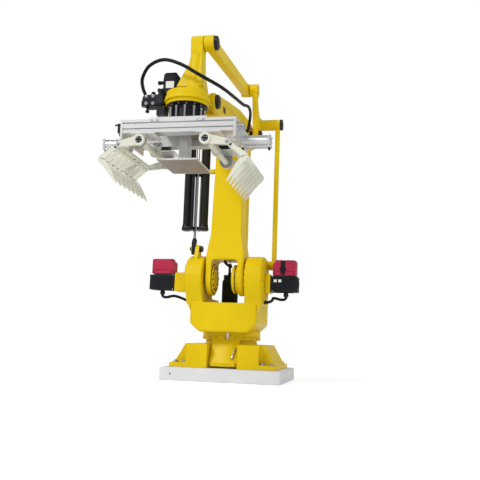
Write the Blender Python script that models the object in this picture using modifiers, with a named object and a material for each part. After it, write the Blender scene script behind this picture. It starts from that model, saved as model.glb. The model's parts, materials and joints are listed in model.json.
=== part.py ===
"""Parallel-link palletising robot with a two-jaw bag gripper, on its floor plinth.

Metres, +Z up. The robot faces -Y and its swing axis is the Z axis. The origin is
on the floor under the swing axis. Every pivot of the arm turns about an X line,
the tool turns about Z, and the jaws of the gripper turn about Y lines.
"""
import math

import bmesh
import bpy
from mathutils import Matrix, Vector

# Fits shared by the whole machine
GAP = 0.0003            # between faces that seat on each other
PLAY = 0.0006           # round a pin in its bore
OVERRUN = 0.02          # how far a cutter runs past what it cuts
RUN_GAP = 0.006         # between pieces that pass each other
EYE_PROUD = 0.003       # how far the eyes of a link stand proud of its web
PIN_SIDES = 20
ROUND_SIDES = 32
BIG_SIDES = 44
ARC_STEPS = 7

# Plinth under the robot
PLINTH_WIDTH = 1.06
PLINTH_DEPTH = 0.97
PLINTH_HEIGHT = 0.113
PLINTH_EDGE = 0.006

# Base casting
BASE_TOP = 0.395
NECK_RADIUS = 0.235
FLANGE_RADIUS = 0.262
FLANGE_HEIGHT = 0.035
SKIRT_RADIUS = 0.345
SKIRT_TOP = 0.17
NECK_FOOT = 0.335
WING_REACH = 0.475
WING_INNER = 0.135
WING_DEPTH = 0.76
WING_SHOULDER = 0.36
WING_TOP = 0.322
WING_RISE = 0.185
FOOT_HEIGHT = 0.036
POCKET_WIDTH = 0.15
POCKET_DEPTH = 0.10
POCKET_EDGE = 0.017
ARCH_HEIGHT = 0.012

# Main pivots of the arm, as (y, z)
SHOULDER = Vector((-0.275, 0.90))
ARM_LENGTH = 1.32
REACH_LENGTH = 1.33
REACH_SLOPE = math.radians(5.9)      # the upper arm points this far below level
DRIVE_THROW = 0.30                   # crank length, and rear throw of the upper arm
LEVEL_FRONT = Vector((-0.118, 0.399))  # from the elbow to the bracket's front pin
LEVEL_REAR = Vector((0.107, 0.138))    # from the elbow to the bracket's rear pin
WRIST_OFFSET = 0.165                 # from the wrist pin forward to the tool axis

ELBOW = SHOULDER + Vector((0, ARM_LENGTH))
REACH_DIR = Vector((-math.cos(REACH_SLOPE), -math.sin(REACH_SLOPE)))
WRIST = ELBOW + REACH_DIR * REACH_LENGTH
CRANK_END = SHOULDER - REACH_DIR * DRIVE_THROW
DRIVE_TOP = ELBOW - REACH_DIR * DRIVE_THROW
BRACKET_FRONT = ELBOW + LEVEL_FRONT
BRACKET_REAR = ELBOW + LEVEL_REAR
TOWER_TOP = WRIST + LEVEL_FRONT
ROD_FOOT = SHOULDER + LEVEL_REAR
TOOL_Y = WRIST.x - WRIST_OFFSET

# Turret yoke
TURRET_SKIRT = 0.265
TURRET_SKIRT_HEIGHT = 0.05
YOKE_HALF = 0.30
YOKE_FRONT = -0.405
YOKE_BACK = 0.215
YOKE_LOW_HALF = 0.215
YOKE_CORNER_RISE = 0.075
YOKE_FLOOR = 0.685
YOKE_SHOULDER = 0.73
YOKE_EDGE = 0.02
EAR_INNER = 0.19
EAR_OUTER = 0.34
EAR_RADIUS = 0.205
EAR_BACK = -0.02
EAR_EDGE = 0.012
LUG_X = -0.2675
LUG_THICK = 0.035
LUG_PIN = SHOULDER + Vector((-0.055, 0.265))
LUG_RADIUS = 0.034
ANCHOR_RADIUS = 0.042

# Swing motor between the ears
SWING_MOTOR_X = -0.045
SWING_MOTOR_Y = 0.06
SWING_MOTOR_SIZE = 0.13
SWING_MOTOR_HEIGHT = 0.235
SWING_CAP_HEIGHT = 0.045
SWING_CAP_INSET = 0.012

# Shoulder gearboxes and motors
GEAR_SEAT_RADIUS = 0.165
GEAR_SEAT_THICK = 0.014
GEAR_BOX_DEPTH = 0.17
GEAR_LEFT_LENGTH = 0.13
GEAR_RIGHT_LENGTH = 0.064
GEAR_HEIGHT = 0.17
GEAR_EDGE = 0.014
MOTOR_LENGTH = 0.238
MOTOR_SIZE = 0.142
MOTOR_DROP = 0.036
MOTOR_EDGE = 0.016
MOTOR_TAIL = 0.03
MOTOR_TAIL_INSET = 0.008
CAP_HEIGHT = 0.135
CAP_LENGTH_SHARE = 0.86
CAP_DEPTH_SHARE = 0.92
CAP_CORNER = 0.03
CABLE_RADIUS = 0.011
CABLE_STUB_RADIUS = 0.016
CABLE_STUB_DROP = 0.05

# Lower arm
FORK_OUTER = 0.172
FORK_INNER = 0.121
FORK_RADIUS = 0.15
ARM_LOW_Z = 0.19
ARM_LOW_HALF = 0.172
ARM_KNEE_Z = 0.39
ARM_KNEE_HALF = 0.137
ARM_TOP_HALF = 0.124
ARM_LOW_DEPTH = 0.142
ARM_KNEE_DEPTH = 0.122
ARM_TOP_DEPTH = 0.086
ARM_HEAD_RADIUS = 0.108
ARM_HEAD_BOSS = 0.13
ARM_BOSS_RADIUS = 0.088
ARM_BODY_EDGE = 0.018
ARCH_TOP = 0.168
ARCH_RADIUS = 0.032

# Crank and drive link of the upper arm
CRANK_LOW_X = 0.068
CRANK_HIGH_X = 0.115
CRANK_HUB_RADIUS = 0.128
CRANK_WEB_HALF = 0.036
CRANK_EYE_LOW_X = 0.0765
CRANK_EYE_HIGH_X = 0.1065
CRANK_EYE_RADIUS = 0.045
LINK_LOW_X = 0.0605
LINK_HIGH_X = 0.1165
LINK_EYE_RADIUS = 0.042
LINK_HALF_DEPTH = 0.03
LINK_FORK_DEPTH = 0.115
PIN_RADIUS = 0.02
CRANK_PIN_RADIUS = 0.034
CRANK_PIN_HEAD = 0.052
CRANK_HEAD_INNER = 0.012              # towards the swing motor
CRANK_HEAD_OUTER = 0.03
LINK_FOOT_RADIUS = 0.05
PIN_HEAD = 0.006
PIN_HEAD_RADIUS = 0.028

# Upper arm
CHEEK_OUTER = 0.168
CHEEK_INNER = 0.1303
CHEEK_REACH = 0.29
REAR_EYE_RADIUS = 0.062
UPPER_HUB_RADIUS = 0.14
UPPER_NOSE_RADIUS = 0.066
UPPER_MID_SHARE = 0.34
UPPER_MID_TOP = 0.145
UPPER_MID_DROP = 0.105
UPPER_FORE_SHARE = 0.68
UPPER_FORE_TOP = 0.108
UPPER_FORE_DROP = 0.072
NOSE_SLOT = 0.105
UPPER_EDGE = 0.012
WINDOW_SHARE = 0.8
WINDOW_LENGTH = 0.085
WINDOW_HEIGHT = 0.05
ELBOW_SHAFT_RADIUS = 0.04
BEARING_RADIUS = 0.052

# Elbow bracket of the levelling linkage
BRACKET_LOW_X = 0.2
BRACKET_HIGH_X = 0.252
BRACKET_EYE_LOW_X = 0.178
BRACKET_HUB_RADIUS = 0.085
BRACKET_EYE_RADIUS = 0.056
BRACKET_REAR_RADIUS = 0.068
REAR_BOSS_RADIUS = 0.05
BRACKET_EDGE = 0.008
BRACKET_WAIST = ((0.28, 0.03), (0.5, 0.042), (0.72, 0.03))  # share of the way, dip
WEB_INSET = 0.026       # from an eye's centre to where its web ends inside it
WEB_SHARE = 0.82        # radius of a web or raised hub round a pin, of its neighbour

# Levelling rod and upper link
ROD_LOW_X = 0.382
ROD_HIGH_X = 0.428
ROD_EYE_RADIUS = 0.05
ROD_FOOT_RADIUS = 0.042
ROD_HALF_DEPTH = 0.024
ROD_EDGE = 0.008
TOP_LINK_LOW_X = 0.1
TOP_LINK_HIGH_X = 0.172
TOP_LINK_EYE = 0.058
TOP_LINK_HALF = 0.046
TOP_LINK_EDGE = 0.006
CAP_THICK = 0.02
CAP_RADIUS = 0.05

# Balancer beside the lower arm
BALANCE_X = -0.305
BALANCE_PIN = LUG_PIN + Vector((0, 0.715))
BALANCE_SPREAD = 0.08
BALANCE_TUBE = 0.037
BALANCE_LOW_Z = BALANCE_PIN.y - 0.545
BALANCE_HIGH_Z = BALANCE_PIN.y + 0.305
BALANCE_PLATE = 0.03
BALANCE_PLATE_DEPTH = 0.088
BALANCE_ROD = 0.012
BALANCE_ROD_LENGTH = 0.78
BALANCE_SLOT_HALF = 0.03
BALANCE_SLOT_SIDE = 0.018
BALANCE_BLOCK = 0.07
TRUNNION_RADIUS = 0.022
CLEVIS_WIDTH = 0.036
CLEVIS_HEIGHT = 0.115
CLEVIS_DEPTH = 0.05

# Wrist
RING_RADIUS = 0.152
RING_DROP = 0.0933                    # the ring's underside below the wrist pin
RING_HEIGHT = 0.095
RING_LOW = WRIST.y - RING_DROP
RING_HIGH = RING_LOW + RING_HEIGHT
RING_LIP = 0.008
RING_LIP_HEIGHT = 0.03
WRIST_HUB_HALF = 0.1297
WRIST_HUB_RADIUS = 0.056
WRIST_NECK_HEIGHT = 0.05
TOWER_LOW_X = 0.007
TOWER_HIGH_X = 0.0945
TOWER_FOOT_LOW_X = -0.075
TOWER_FOOT_HIGH_X = 0.115
TOWER_EYE = 0.058
TOWER_FOOT_FRONT = 0.115
TOWER_FOOT_BACK = 0.03
TOWER_WAIST = 0.14
TOWER_EDGE = 0.008
WRIST_MOTOR_X = -0.09
WRIST_MOTOR_SIZE = 0.105
WRIST_MOTOR_BACK = 0.075
WRIST_MOTOR_HEIGHT = 0.165
VALVE_LENGTH = 0.15
VALVE_DEPTH = 0.11
VALVE_HEIGHT = 0.085
VALVE_EDGE = 0.012
HOSE_RADIUS = 0.0125

# Tool flange and gripper frame
FLANGE_TOP_RADIUS = 0.105
TOOL_PLATE_HALF = 0.2
TOOL_PLATE_DEPTH = 0.42
FLANGE_LENGTH = 0.135
TOOL_PLATE_TOP = RING_LOW - FLANGE_LENGTH
TOOL_PLATE_THICK = 0.015
RAIL_HALF = 0.389
RAIL_HEIGHT = 0.074
RAIL_DEPTH = 0.09
RAIL_SPAN = 0.44
RAIL_SLOT = 0.009
RAIL_SLOT_DEPTH = 0.008
RAIL_SLOT_SHARE = 0.27
STOP_HALF = 0.14
STOP_DEPTH = 0.39
STOP_DROP = 0.298
STOP_Z = TOOL_PLATE_TOP - STOP_DROP
STOP_THICK = 0.008
STOP_POST = 0.055
STOP_CROSS = 0.06
STOP_CROSS_HEIGHT = 0.05
HANGER_THICK = 0.008
HANGER_WIDTH = 0.1
HANGER_LEG = 0.018
JAW_X = 0.226
JAW_DROP = 0.192
JAW_Z = TOOL_PLATE_TOP - JAW_DROP
JAW_HALF_LENGTH = 0.325
JAW_SHAFT = 0.02
JAW_BEARING = 0.042

# Jaws
JAW_BAR = Vector((0.147, -0.025))
JAW_CORNER = Vector((0.262, -0.112))
JAW_TIP = Vector((0.15, -0.285))
JAW_LEVER_THICK = 0.014
JAW_LEVER_RADIUS = 0.034
JAW_BAR_RADIUS = 0.02
FINGER_COUNT = 8
FINGER_THICK = 0.012
FINGER_ROOT = 0.026
FINGER_HEEL = 0.024
FINGER_POINT = 0.007
HORN_LENGTH = 0.0716
HORN_LEAN = math.radians(30)
HORN_THICK = 0.016
HORN_WIDTH = 0.017
HORN_SLOT_LENGTH = 0.012
HORN_SLOT_END = 0.0055
HORN_PIN = 0.006
FORK_REACH = 0.034       # from the cross pin back to the root of the rod's fork
HORN_SLOT = 0.0085

# Cylinders that drive the jaws
CYLINDER_RADIUS = 0.043
CYLINDER_LENGTH = 0.205
CYLINDER_START = 0.402
CYLINDER_ROD = 0.009
CYLINDER_Y = -1.76
CYLINDER_HEAD = 0.02
CYLINDER_FOOT = 0.016
ROD_END_SHARE = 0.4                   # of the cylinder, with the jaw shut
ROD_ROOM_SHARE = 0.8

PARTS = "palletising_robot"
CUTTERS = "cutters"

# Finishes as (red, green, blue), roughness, metallic
FINISHES = {
    "robot_yellow_paint": ((0.83, 0.62, 0.02), 0.35, 0.0),
    "plinth_grey_paint": ((0.66, 0.67, 0.68), 0.6, 0.0),
    "motor_black": ((0.02, 0.02, 0.022), 0.5, 0.0),
    "encoder_red": ((0.45, 0.03, 0.06), 0.45, 0.0),
    "machined_steel": ((0.6, 0.6, 0.6), 0.3, 1.0),
    "black_oxide_steel": ((0.03, 0.03, 0.03), 0.4, 0.6),
    "extruded_aluminium": ((0.75, 0.76, 0.78), 0.35, 1.0),
    "plate_aluminium": ((0.55, 0.55, 0.56), 0.45, 1.0),
    "jaw_ivory_paint": ((0.72, 0.7, 0.58), 0.5, 0.0),
    "black_rubber": ((0.015, 0.015, 0.015), 0.65, 0.0),
}


PLANES = {
    "x": Matrix(((0, 0, 1, 0), (1, 0, 0, 0), (0, 1, 0, 0), (0, 0, 0, 1))),
    "y": Matrix(((1, 0, 0, 0), (0, 0, -1, 0), (0, 1, 0, 0), (0, 0, 0, 1))),
    "z": Matrix.Identity(4),
}


def start_scene():
    for old in list(bpy.data.objects):
        bpy.data.objects.remove(old, do_unlink=True)
    for name in (PARTS, CUTTERS):
        collection = bpy.data.collections.get(name) or bpy.data.collections.new(name)
        if collection.name not in bpy.context.scene.collection.children:
            bpy.context.scene.collection.children.link(collection)


def finish(name):
    found = bpy.data.materials.get(name)
    if found:
        return found
    colour, roughness, metallic = FINISHES[name]
    made = bpy.data.materials.new(name)
    made.use_nodes = True
    shader = made.node_tree.nodes["Principled BSDF"]
    shader.inputs["Base Color"].default_value = (*colour, 1.0)
    shader.inputs["Roughness"].default_value = roughness
    shader.inputs["Metallic"].default_value = metallic
    return made


def new_object(name, mesh, coat=None):
    """A named object in the parts collection, or a tool for cutting and joining."""
    made = bpy.data.objects.new(name, mesh)
    bpy.data.collections[PARTS].objects.link(made)
    if coat:
        mesh.materials.append(finish(coat))
    mesh.shade_smooth()
    mesh.set_sharp_from_angle(angle=math.radians(30))
    return made


def block(name, low, high, coat=None, edge=0.0):
    """A box between two corners, with its edges rounded by a modifier."""
    low, high = Vector(low), Vector(high)
    frame = bmesh.new()
    bmesh.ops.create_cube(frame, size=1.0)
    size = high - low
    bmesh.ops.scale(frame, vec=size, verts=frame.verts)
    bmesh.ops.translate(frame, vec=(low + high) / 2, verts=frame.verts)
    mesh = bpy.data.meshes.new(name)
    frame.to_mesh(mesh)
    frame.free()
    made = new_object(name, mesh, coat)
    soften(made, edge)
    return made


def bar(name, start, end, radius, coat=None, sides=ROUND_SIDES, end_radius=None):
    """A round bar, or a cone, from one point to another along X, Y or Z."""
    start, end = Vector(start), Vector(end)
    axis = end - start
    frame = bmesh.new()
    line = "xyz"[max(range(3), key=lambda index: abs(axis[index]))]
    place = Matrix.Translation((start + end) / 2) @ PLANES[line]
    bmesh.ops.create_cone(frame, cap_ends=True, segments=sides, radius1=radius,
                          radius2=radius if end_radius is None else end_radius,
                          depth=axis.length, matrix=place)
    bmesh.ops.recalc_face_normals(frame, faces=frame.faces)
    mesh = bpy.data.meshes.new(name)
    frame.to_mesh(mesh)
    frame.free()
    return new_object(name, mesh, coat)


def plate(name, outline, axis, low, high, coat=None, edge=0.0):
    """A flat outline with thickness: (y, z) along x, (x, z) along y, (x, y) along z."""
    curve = bpy.data.curves.new(name, "CURVE")
    curve.dimensions = "2D"
    curve.fill_mode = "BOTH"
    curve.extrude = abs(high - low) / 2
    line = curve.splines.new("POLY")
    line.points.add(len(outline) - 1)
    for point, place in zip(line.points, outline):
        point.co = (place[0], place[1], 0, 1)
    line.use_cyclic_u = True
    drawn = bpy.data.objects.new(name, curve)
    bpy.data.collections[PARTS].objects.link(drawn)
    bpy.context.view_layer.update()
    seen = drawn.evaluated_get(bpy.context.evaluated_depsgraph_get())
    mesh = bpy.data.meshes.new_from_object(seen)
    bpy.data.objects.remove(drawn)
    bpy.data.curves.remove(curve)
    frame = bmesh.new()
    frame.from_mesh(mesh)
    bmesh.ops.remove_doubles(frame, verts=frame.verts, dist=GAP / 10)
    bmesh.ops.dissolve_limit(frame, angle_limit=math.radians(0.1), verts=frame.verts,
                             edges=frame.edges)
    middle = (low + high) / 2
    if axis == "y":
        middle = -middle
    bmesh.ops.translate(frame, vec=(0, 0, middle), verts=frame.verts)
    bmesh.ops.transform(frame, matrix=PLANES[axis], verts=frame.verts)
    bmesh.ops.recalc_face_normals(frame, faces=frame.faces)
    frame.to_mesh(mesh)
    frame.free()
    mesh.name = name
    made = new_object(name, mesh, coat)
    soften(made, edge)
    return made


def tube(name, route, radius, coat, ends=2):
    """A cable along a smooth curve through the points of its route."""
    curve = bpy.data.curves.new(name, "CURVE")
    curve.dimensions = "3D"
    curve.bevel_depth = radius
    curve.bevel_resolution = ends
    curve.use_fill_caps = True
    line = curve.splines.new("POLY")
    points = smooth_route(route, radius * 5)
    line.points.add(len(points) - 1)
    for point, place in zip(line.points, points):
        point.co = (*place, 1)
    made = bpy.data.objects.new(name, curve)
    bpy.data.collections[PARTS].objects.link(made)
    curve.materials.append(finish(coat))
    return made


def smooth_route(route, step):
    """Points about one step apart on a curve through the route, straight at its ends."""
    places = [Vector(place) for place in route]
    ends = [2 * places[0] - places[1], *places, 2 * places[-1] - places[-2]]
    points = []
    for before, start, end, after in zip(ends, ends[1:], ends[2:], ends[3:]):
        straight = start == places[0] or end == places[-1]
        count = 1 if straight else max(2, round((end - start).length / step))
        for index in range(count):
            t = index / count
            points.append(0.5 * (2 * start + (end - before) * t
                                 + (2 * before - 5 * start + 4 * end - after) * t * t
                                 + (3 * start - before - 3 * end + after) * t ** 3))
    return [*points, places[-1]]


def soften(target, edge, steps=2):
    if edge:
        rounding = target.modifiers.new("soft_edges", "BEVEL")
        rounding.width = edge
        rounding.segments = steps
        rounding.limit_method = "ANGLE"
        rounding.angle_limit = math.radians(40)


def combine(target, how, *tools):
    """Join, cut or intersect with hidden tools, which stay with their piece."""
    for tool in tools:
        work = target.modifiers.new(how.lower(), "BOOLEAN")
        work.operation = how
        work.object = tool
        bpy.data.collections[PARTS].objects.unlink(tool)
        bpy.data.collections[CUTTERS].objects.link(tool)
        tool.parent = target
        tool.hide_render = True
        tool.display_type = "WIRE"
    return target


def join(target, *tools):
    return combine(target, "UNION", *tools)


def cut(target, *tools):
    return combine(target, "DIFFERENCE", *tools)


def overlap(target, *tools):
    return combine(target, "INTERSECT", *tools)


def circle_arc(centre, radius, start, end, steps=ARC_STEPS):
    """Points on an arc, by angle from the first axis towards the second."""
    angles = [start + (end - start) * index / steps for index in range(steps + 1)]
    return [Vector((centre[0] + radius * math.cos(a), centre[1] + radius * math.sin(a)))
            for a in angles]


def strap(first, first_radius, last, last_radius, steps=ARC_STEPS):
    """The outline of a strap pulled tight round two discs."""
    line = Vector(last) - Vector(first)
    heading = math.atan2(line.y, line.x)
    side = math.acos((first_radius - last_radius) / line.length)
    near = circle_arc(first, first_radius, heading + side,
                      heading + 2 * math.pi - side, steps)
    far = circle_arc(last, last_radius, heading - side, heading + side, steps)
    return near + far


def web(first, last, half):
    """The outline of a flat web between two eyes, ending inside their rims."""
    first, last = Vector(first), Vector(last)
    along = (last - first).normalized()
    side = Vector((-along.y, along.x)) * half
    start, end = first + along * WEB_INSET, last - along * WEB_INSET
    return [start - side, end - side, end + side, start + side]


def x_bar(name, low, high, centre, radius, coat=None, sides=ROUND_SIDES):
    return bar(name, (low, *centre), (high, *centre), radius, coat, sides)


def bore(target, centre, radius, low, high, sides=PIN_SIDES):
    """A round hole along X through a piece, with the play that its pin needs."""
    tool = x_bar(target.name + "_bore", low - OVERRUN, high + OVERRUN, centre,
                 radius + PLAY, sides=sides)
    return cut(target, tool)


def mirrored_pair(points):
    """An outline closed by its own mirror image across the first axis's zero."""
    return points + [Vector((-p[0], p[1])) for p in reversed(points)]


def make_plinth():
    half_width, half_depth = PLINTH_WIDTH / 2, PLINTH_DEPTH / 2
    return block("plinth", (-half_width, -half_depth, 0),
                 (half_width, half_depth, PLINTH_HEIGHT), "plinth_grey_paint", PLINTH_EDGE)


def make_base():
    floor = PLINTH_HEIGHT + GAP
    foot = floor + FOOT_HEIGHT
    base = bar("base_casting", (0, 0, floor + ARCH_HEIGHT), (0, 0, SKIRT_TOP), SKIRT_RADIUS,
               "robot_yellow_paint", BIG_SIDES)
    join(base, bar("neck_cone", (0, 0, SKIRT_TOP - OVERRUN), (0, 0, NECK_FOOT),
                   SKIRT_RADIUS - EYE_PROUD, sides=BIG_SIDES,
                   end_radius=NECK_RADIUS + EYE_PROUD),
         bar("neck", (0, 0, NECK_FOOT - OVERRUN), (0, 0, BASE_TOP - OVERRUN), NECK_RADIUS,
             sides=BIG_SIDES),
         bar("turning_flange", (0, 0, BASE_TOP - FLANGE_HEIGHT), (0, 0, BASE_TOP),
             FLANGE_RADIUS, sides=BIG_SIDES))
    for side in (-1, 1):
        outline = [(side * WING_INNER, floor), (side * WING_REACH, floor),
                   (side * WING_REACH, foot), (side * (WING_REACH - FOOT_HEIGHT), WING_RISE),
                   (side * WING_SHOULDER, WING_TOP), (side * WING_INNER, WING_TOP)]
        wing = plate("wing", outline, "y", -WING_DEPTH / 2, WING_DEPTH / 2)
        join(base, wing)
    for side in (-1, 1):
        for end in (-1, 1):
            outer = side * (WING_REACH + 2 * OVERRUN)
            inner = side * (WING_REACH - POCKET_WIDTH)
            front = end * (WING_DEPTH / 2 + 2 * OVERRUN)
            back = end * (WING_DEPTH / 2 - POCKET_DEPTH)
            pocket = block("bolt_pocket", (min(outer, inner), min(front, back),
                                           foot + EYE_PROUD),
                           (max(outer, inner), max(front, back), WING_TOP + 2 * OVERRUN),
                           edge=POCKET_EDGE)
            cut(base, pocket)
    return base


def make_yoke():
    low = BASE_TOP + GAP
    skirt_top = low + TURRET_SKIRT_HEIGHT
    corner_top = skirt_top - OVERRUN + YOKE_CORNER_RISE
    yoke = plate("turret_yoke",
                 mirrored_pair([Vector((YOKE_LOW_HALF, skirt_top - OVERRUN)),
                                Vector((YOKE_HALF, corner_top)),
                                Vector((YOKE_HALF, YOKE_SHOULDER))]),
                 "y", YOKE_FRONT, YOKE_BACK, "robot_yellow_paint", YOKE_EDGE)
    skirt = bar("turret_skirt", (0, 0, low), (0, 0, skirt_top), TURRET_SKIRT, sides=BIG_SIDES)
    join(yoke, skirt)
    for side in (-1, 1):
        outline = [Vector((EAR_BACK, YOKE_FLOOR - OVERRUN))]
        outline += circle_arc(SHOULDER, EAR_RADIUS, math.radians(15), math.radians(200),
                              2 * ARC_STEPS)
        outline += [Vector((YOKE_FRONT + EAR_EDGE, YOKE_FLOOR - OVERRUN))]
        ear = plate("ear", outline, "x", min(side * EAR_INNER, side * EAR_OUTER),
                    max(side * EAR_INNER, side * EAR_OUTER), edge=EAR_EDGE)
        join(yoke, ear)
    slot_half = EAR_INNER - EYE_PROUD
    slot = block("yoke_slot", (-slot_half, YOKE_FRONT - OVERRUN, YOKE_FLOOR),
                 (slot_half, YOKE_BACK + OVERRUN, YOKE_SHOULDER + OVERRUN))
    cut(yoke, slot)
    lug_low, lug_high = LUG_X - LUG_THICK / 2, LUG_X + LUG_THICK / 2
    lug_foot = Vector((LUG_PIN.x, SHOULDER.y + EAR_RADIUS - LUG_RADIUS))
    lug = plate("balancer_lug", strap(lug_foot, 2 * LUG_RADIUS, LUG_PIN, LUG_RADIUS), "x",
                lug_low, lug_high)
    anchor = x_bar("rod_anchor", EAR_OUTER - OVERRUN, ROD_LOW_X - GAP, ROD_FOOT, ANCHOR_RADIUS)
    shafts = [x_bar("shoulder_shaft", min(side * near, side * EAR_OUTER / 1.5),
                    max(side * near, side * EAR_OUTER / 1.5), SHOULDER, ELBOW_SHAFT_RADIUS)
              for side, near in ((-1, FORK_INNER), (1, CRANK_HIGH_X + GAP))]
    return join(yoke, lug, anchor, *shafts,
                *pin_and_cap(ROD_LOW_X - OVERRUN, ROD_HIGH_X, ROD_FOOT, PIN_HEAD_RADIUS,
                             PIN_HEAD),
                *pin_and_cap(lug_high, BALANCE_X - CLEVIS_WIDTH / 2, LUG_PIN,
                             PIN_HEAD_RADIUS, PIN_HEAD))


def make_swing_motor():
    half = SWING_MOTOR_SIZE / 2
    low = YOKE_FLOOR + GAP
    top = low + SWING_MOTOR_HEIGHT
    inset = half - SWING_CAP_INSET
    motor = block("swing_motor", (SWING_MOTOR_X - half, SWING_MOTOR_Y - half, low),
                  (SWING_MOTOR_X + half, SWING_MOTOR_Y + half, top), "motor_black", MOTOR_EDGE)
    cap = block("swing_cap", (SWING_MOTOR_X - inset, SWING_MOTOR_Y - inset, top - OVERRUN),
                (SWING_MOTOR_X + inset, SWING_MOTOR_Y + inset, top + SWING_CAP_HEIGHT))
    return join(motor, cap)


def side_span(side, near, far):
    """The low and high X of a piece between two distances on one side."""
    return (near, far) if side > 0 else (-far, -near)


def make_shoulder_drive(side, word, gear_length):
    """Gearbox, motor and its red encoder box on the outer face of one ear."""
    centre = SHOULDER - Vector((0, MOTOR_DROP))
    seat_end = EAR_OUTER + GEAR_SEAT_THICK
    gear_end = EAR_OUTER + gear_length
    low, high = side_span(side, EAR_OUTER + GAP, seat_end)
    gear = x_bar(word + "_gearbox", low, high, SHOULDER, GEAR_SEAT_RADIUS,
                 "robot_yellow_paint", BIG_SIDES)
    low, high = side_span(side, seat_end - GAP, gear_end)
    box = block("gear_housing",
                (low, centre.x - GEAR_BOX_DEPTH / 2, centre.y - GEAR_HEIGHT / 2),
                (high, centre.x + GEAR_BOX_DEPTH / 2, centre.y + GEAR_HEIGHT / 2),
                edge=GEAR_EDGE)
    join(gear, box)
    if side > 0:
        room = x_bar("anchor_room", EAR_OUTER - OVERRUN, seat_end + OVERRUN, ROD_FOOT,
                     ANCHOR_RADIUS + RUN_GAP / 2)
        cut(gear, room)

    body_end = gear_end + GAP + MOTOR_LENGTH - MOTOR_TAIL
    half = MOTOR_SIZE / 2
    low, high = side_span(side, gear_end + GAP, body_end)
    motor = block(word + "_motor", (low, centre.x - half, centre.y - half),
                  (high, centre.x + half, centre.y + half), "motor_black", MOTOR_EDGE)
    low, high = side_span(side, body_end - OVERRUN, body_end + MOTOR_TAIL)
    inset = half - MOTOR_TAIL_INSET
    tail = block("motor_tail", (low, centre.x - inset, centre.y - half),
                 (high, centre.x + inset, centre.y + inset))
    join(motor, tail)

    cap_start = gear_end + GAP + MOTOR_LENGTH * (1 - CAP_LENGTH_SHARE) / 2
    cap_end = cap_start + MOTOR_LENGTH * CAP_LENGTH_SHARE
    depth = half * CAP_DEPTH_SHARE
    base_z = centre.y + half + GAP
    top_z = base_z + CAP_HEIGHT
    outline = [Vector((side * cap_start, base_z)), Vector((side * cap_end, base_z)),
               Vector((side * cap_end, top_z)), Vector((side * (cap_start + CAP_CORNER), top_z)),
               Vector((side * cap_start, top_z - CAP_CORNER))]
    cap = plate(word + "_encoder_box", outline, "y", centre.x - depth, centre.x + depth,
                "encoder_red", MOTOR_TAIL_INSET)
    return gear, motor, cap


# Motor cable: places along the motor, sideways runs, and drops as shares of the stub's
CABLE_STUB_SHARE = 0.55
CABLE_BEND = 0.035
CABLE_RUN = 0.11
CABLE_SWING = 0.01
CABLE_NEAR = 0.07
CABLE_DROP_SHARES = (1.35, 1.05, 1.5, 1.8)


def make_motor_cable(side, word, gear_length):
    """A stub under the motor, and its cable into the turret's side."""
    centre_z = SHOULDER.y - MOTOR_DROP
    under = centre_z - MOTOR_SIZE / 2 - GAP
    stub_x = EAR_OUTER + gear_length + MOTOR_LENGTH * CABLE_STUB_SHARE
    drops = [under - share * CABLE_STUB_DROP for share in CABLE_DROP_SHARES]
    end_y = SHOULDER.x + 2 * CABLE_SWING
    route = [(side * stub_x, SHOULDER.x, under),
             (side * stub_x, SHOULDER.x, under - CABLE_STUB_DROP),
             (side * (stub_x - CABLE_BEND), SHOULDER.x, drops[0]),
             (side * (stub_x - CABLE_RUN), SHOULDER.x + CABLE_SWING, drops[1]),
             (side * (EAR_OUTER + CABLE_NEAR), SHOULDER.x + 1.5 * CABLE_SWING, drops[2]),
             (side * (EAR_OUTER + 3 * CABLE_RADIUS), end_y, drops[3]),
             (side * (EAR_OUTER + GAP), end_y, drops[3])]
    return tube(word + "_motor_cable", route, CABLE_RADIUS, "black_rubber")


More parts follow.
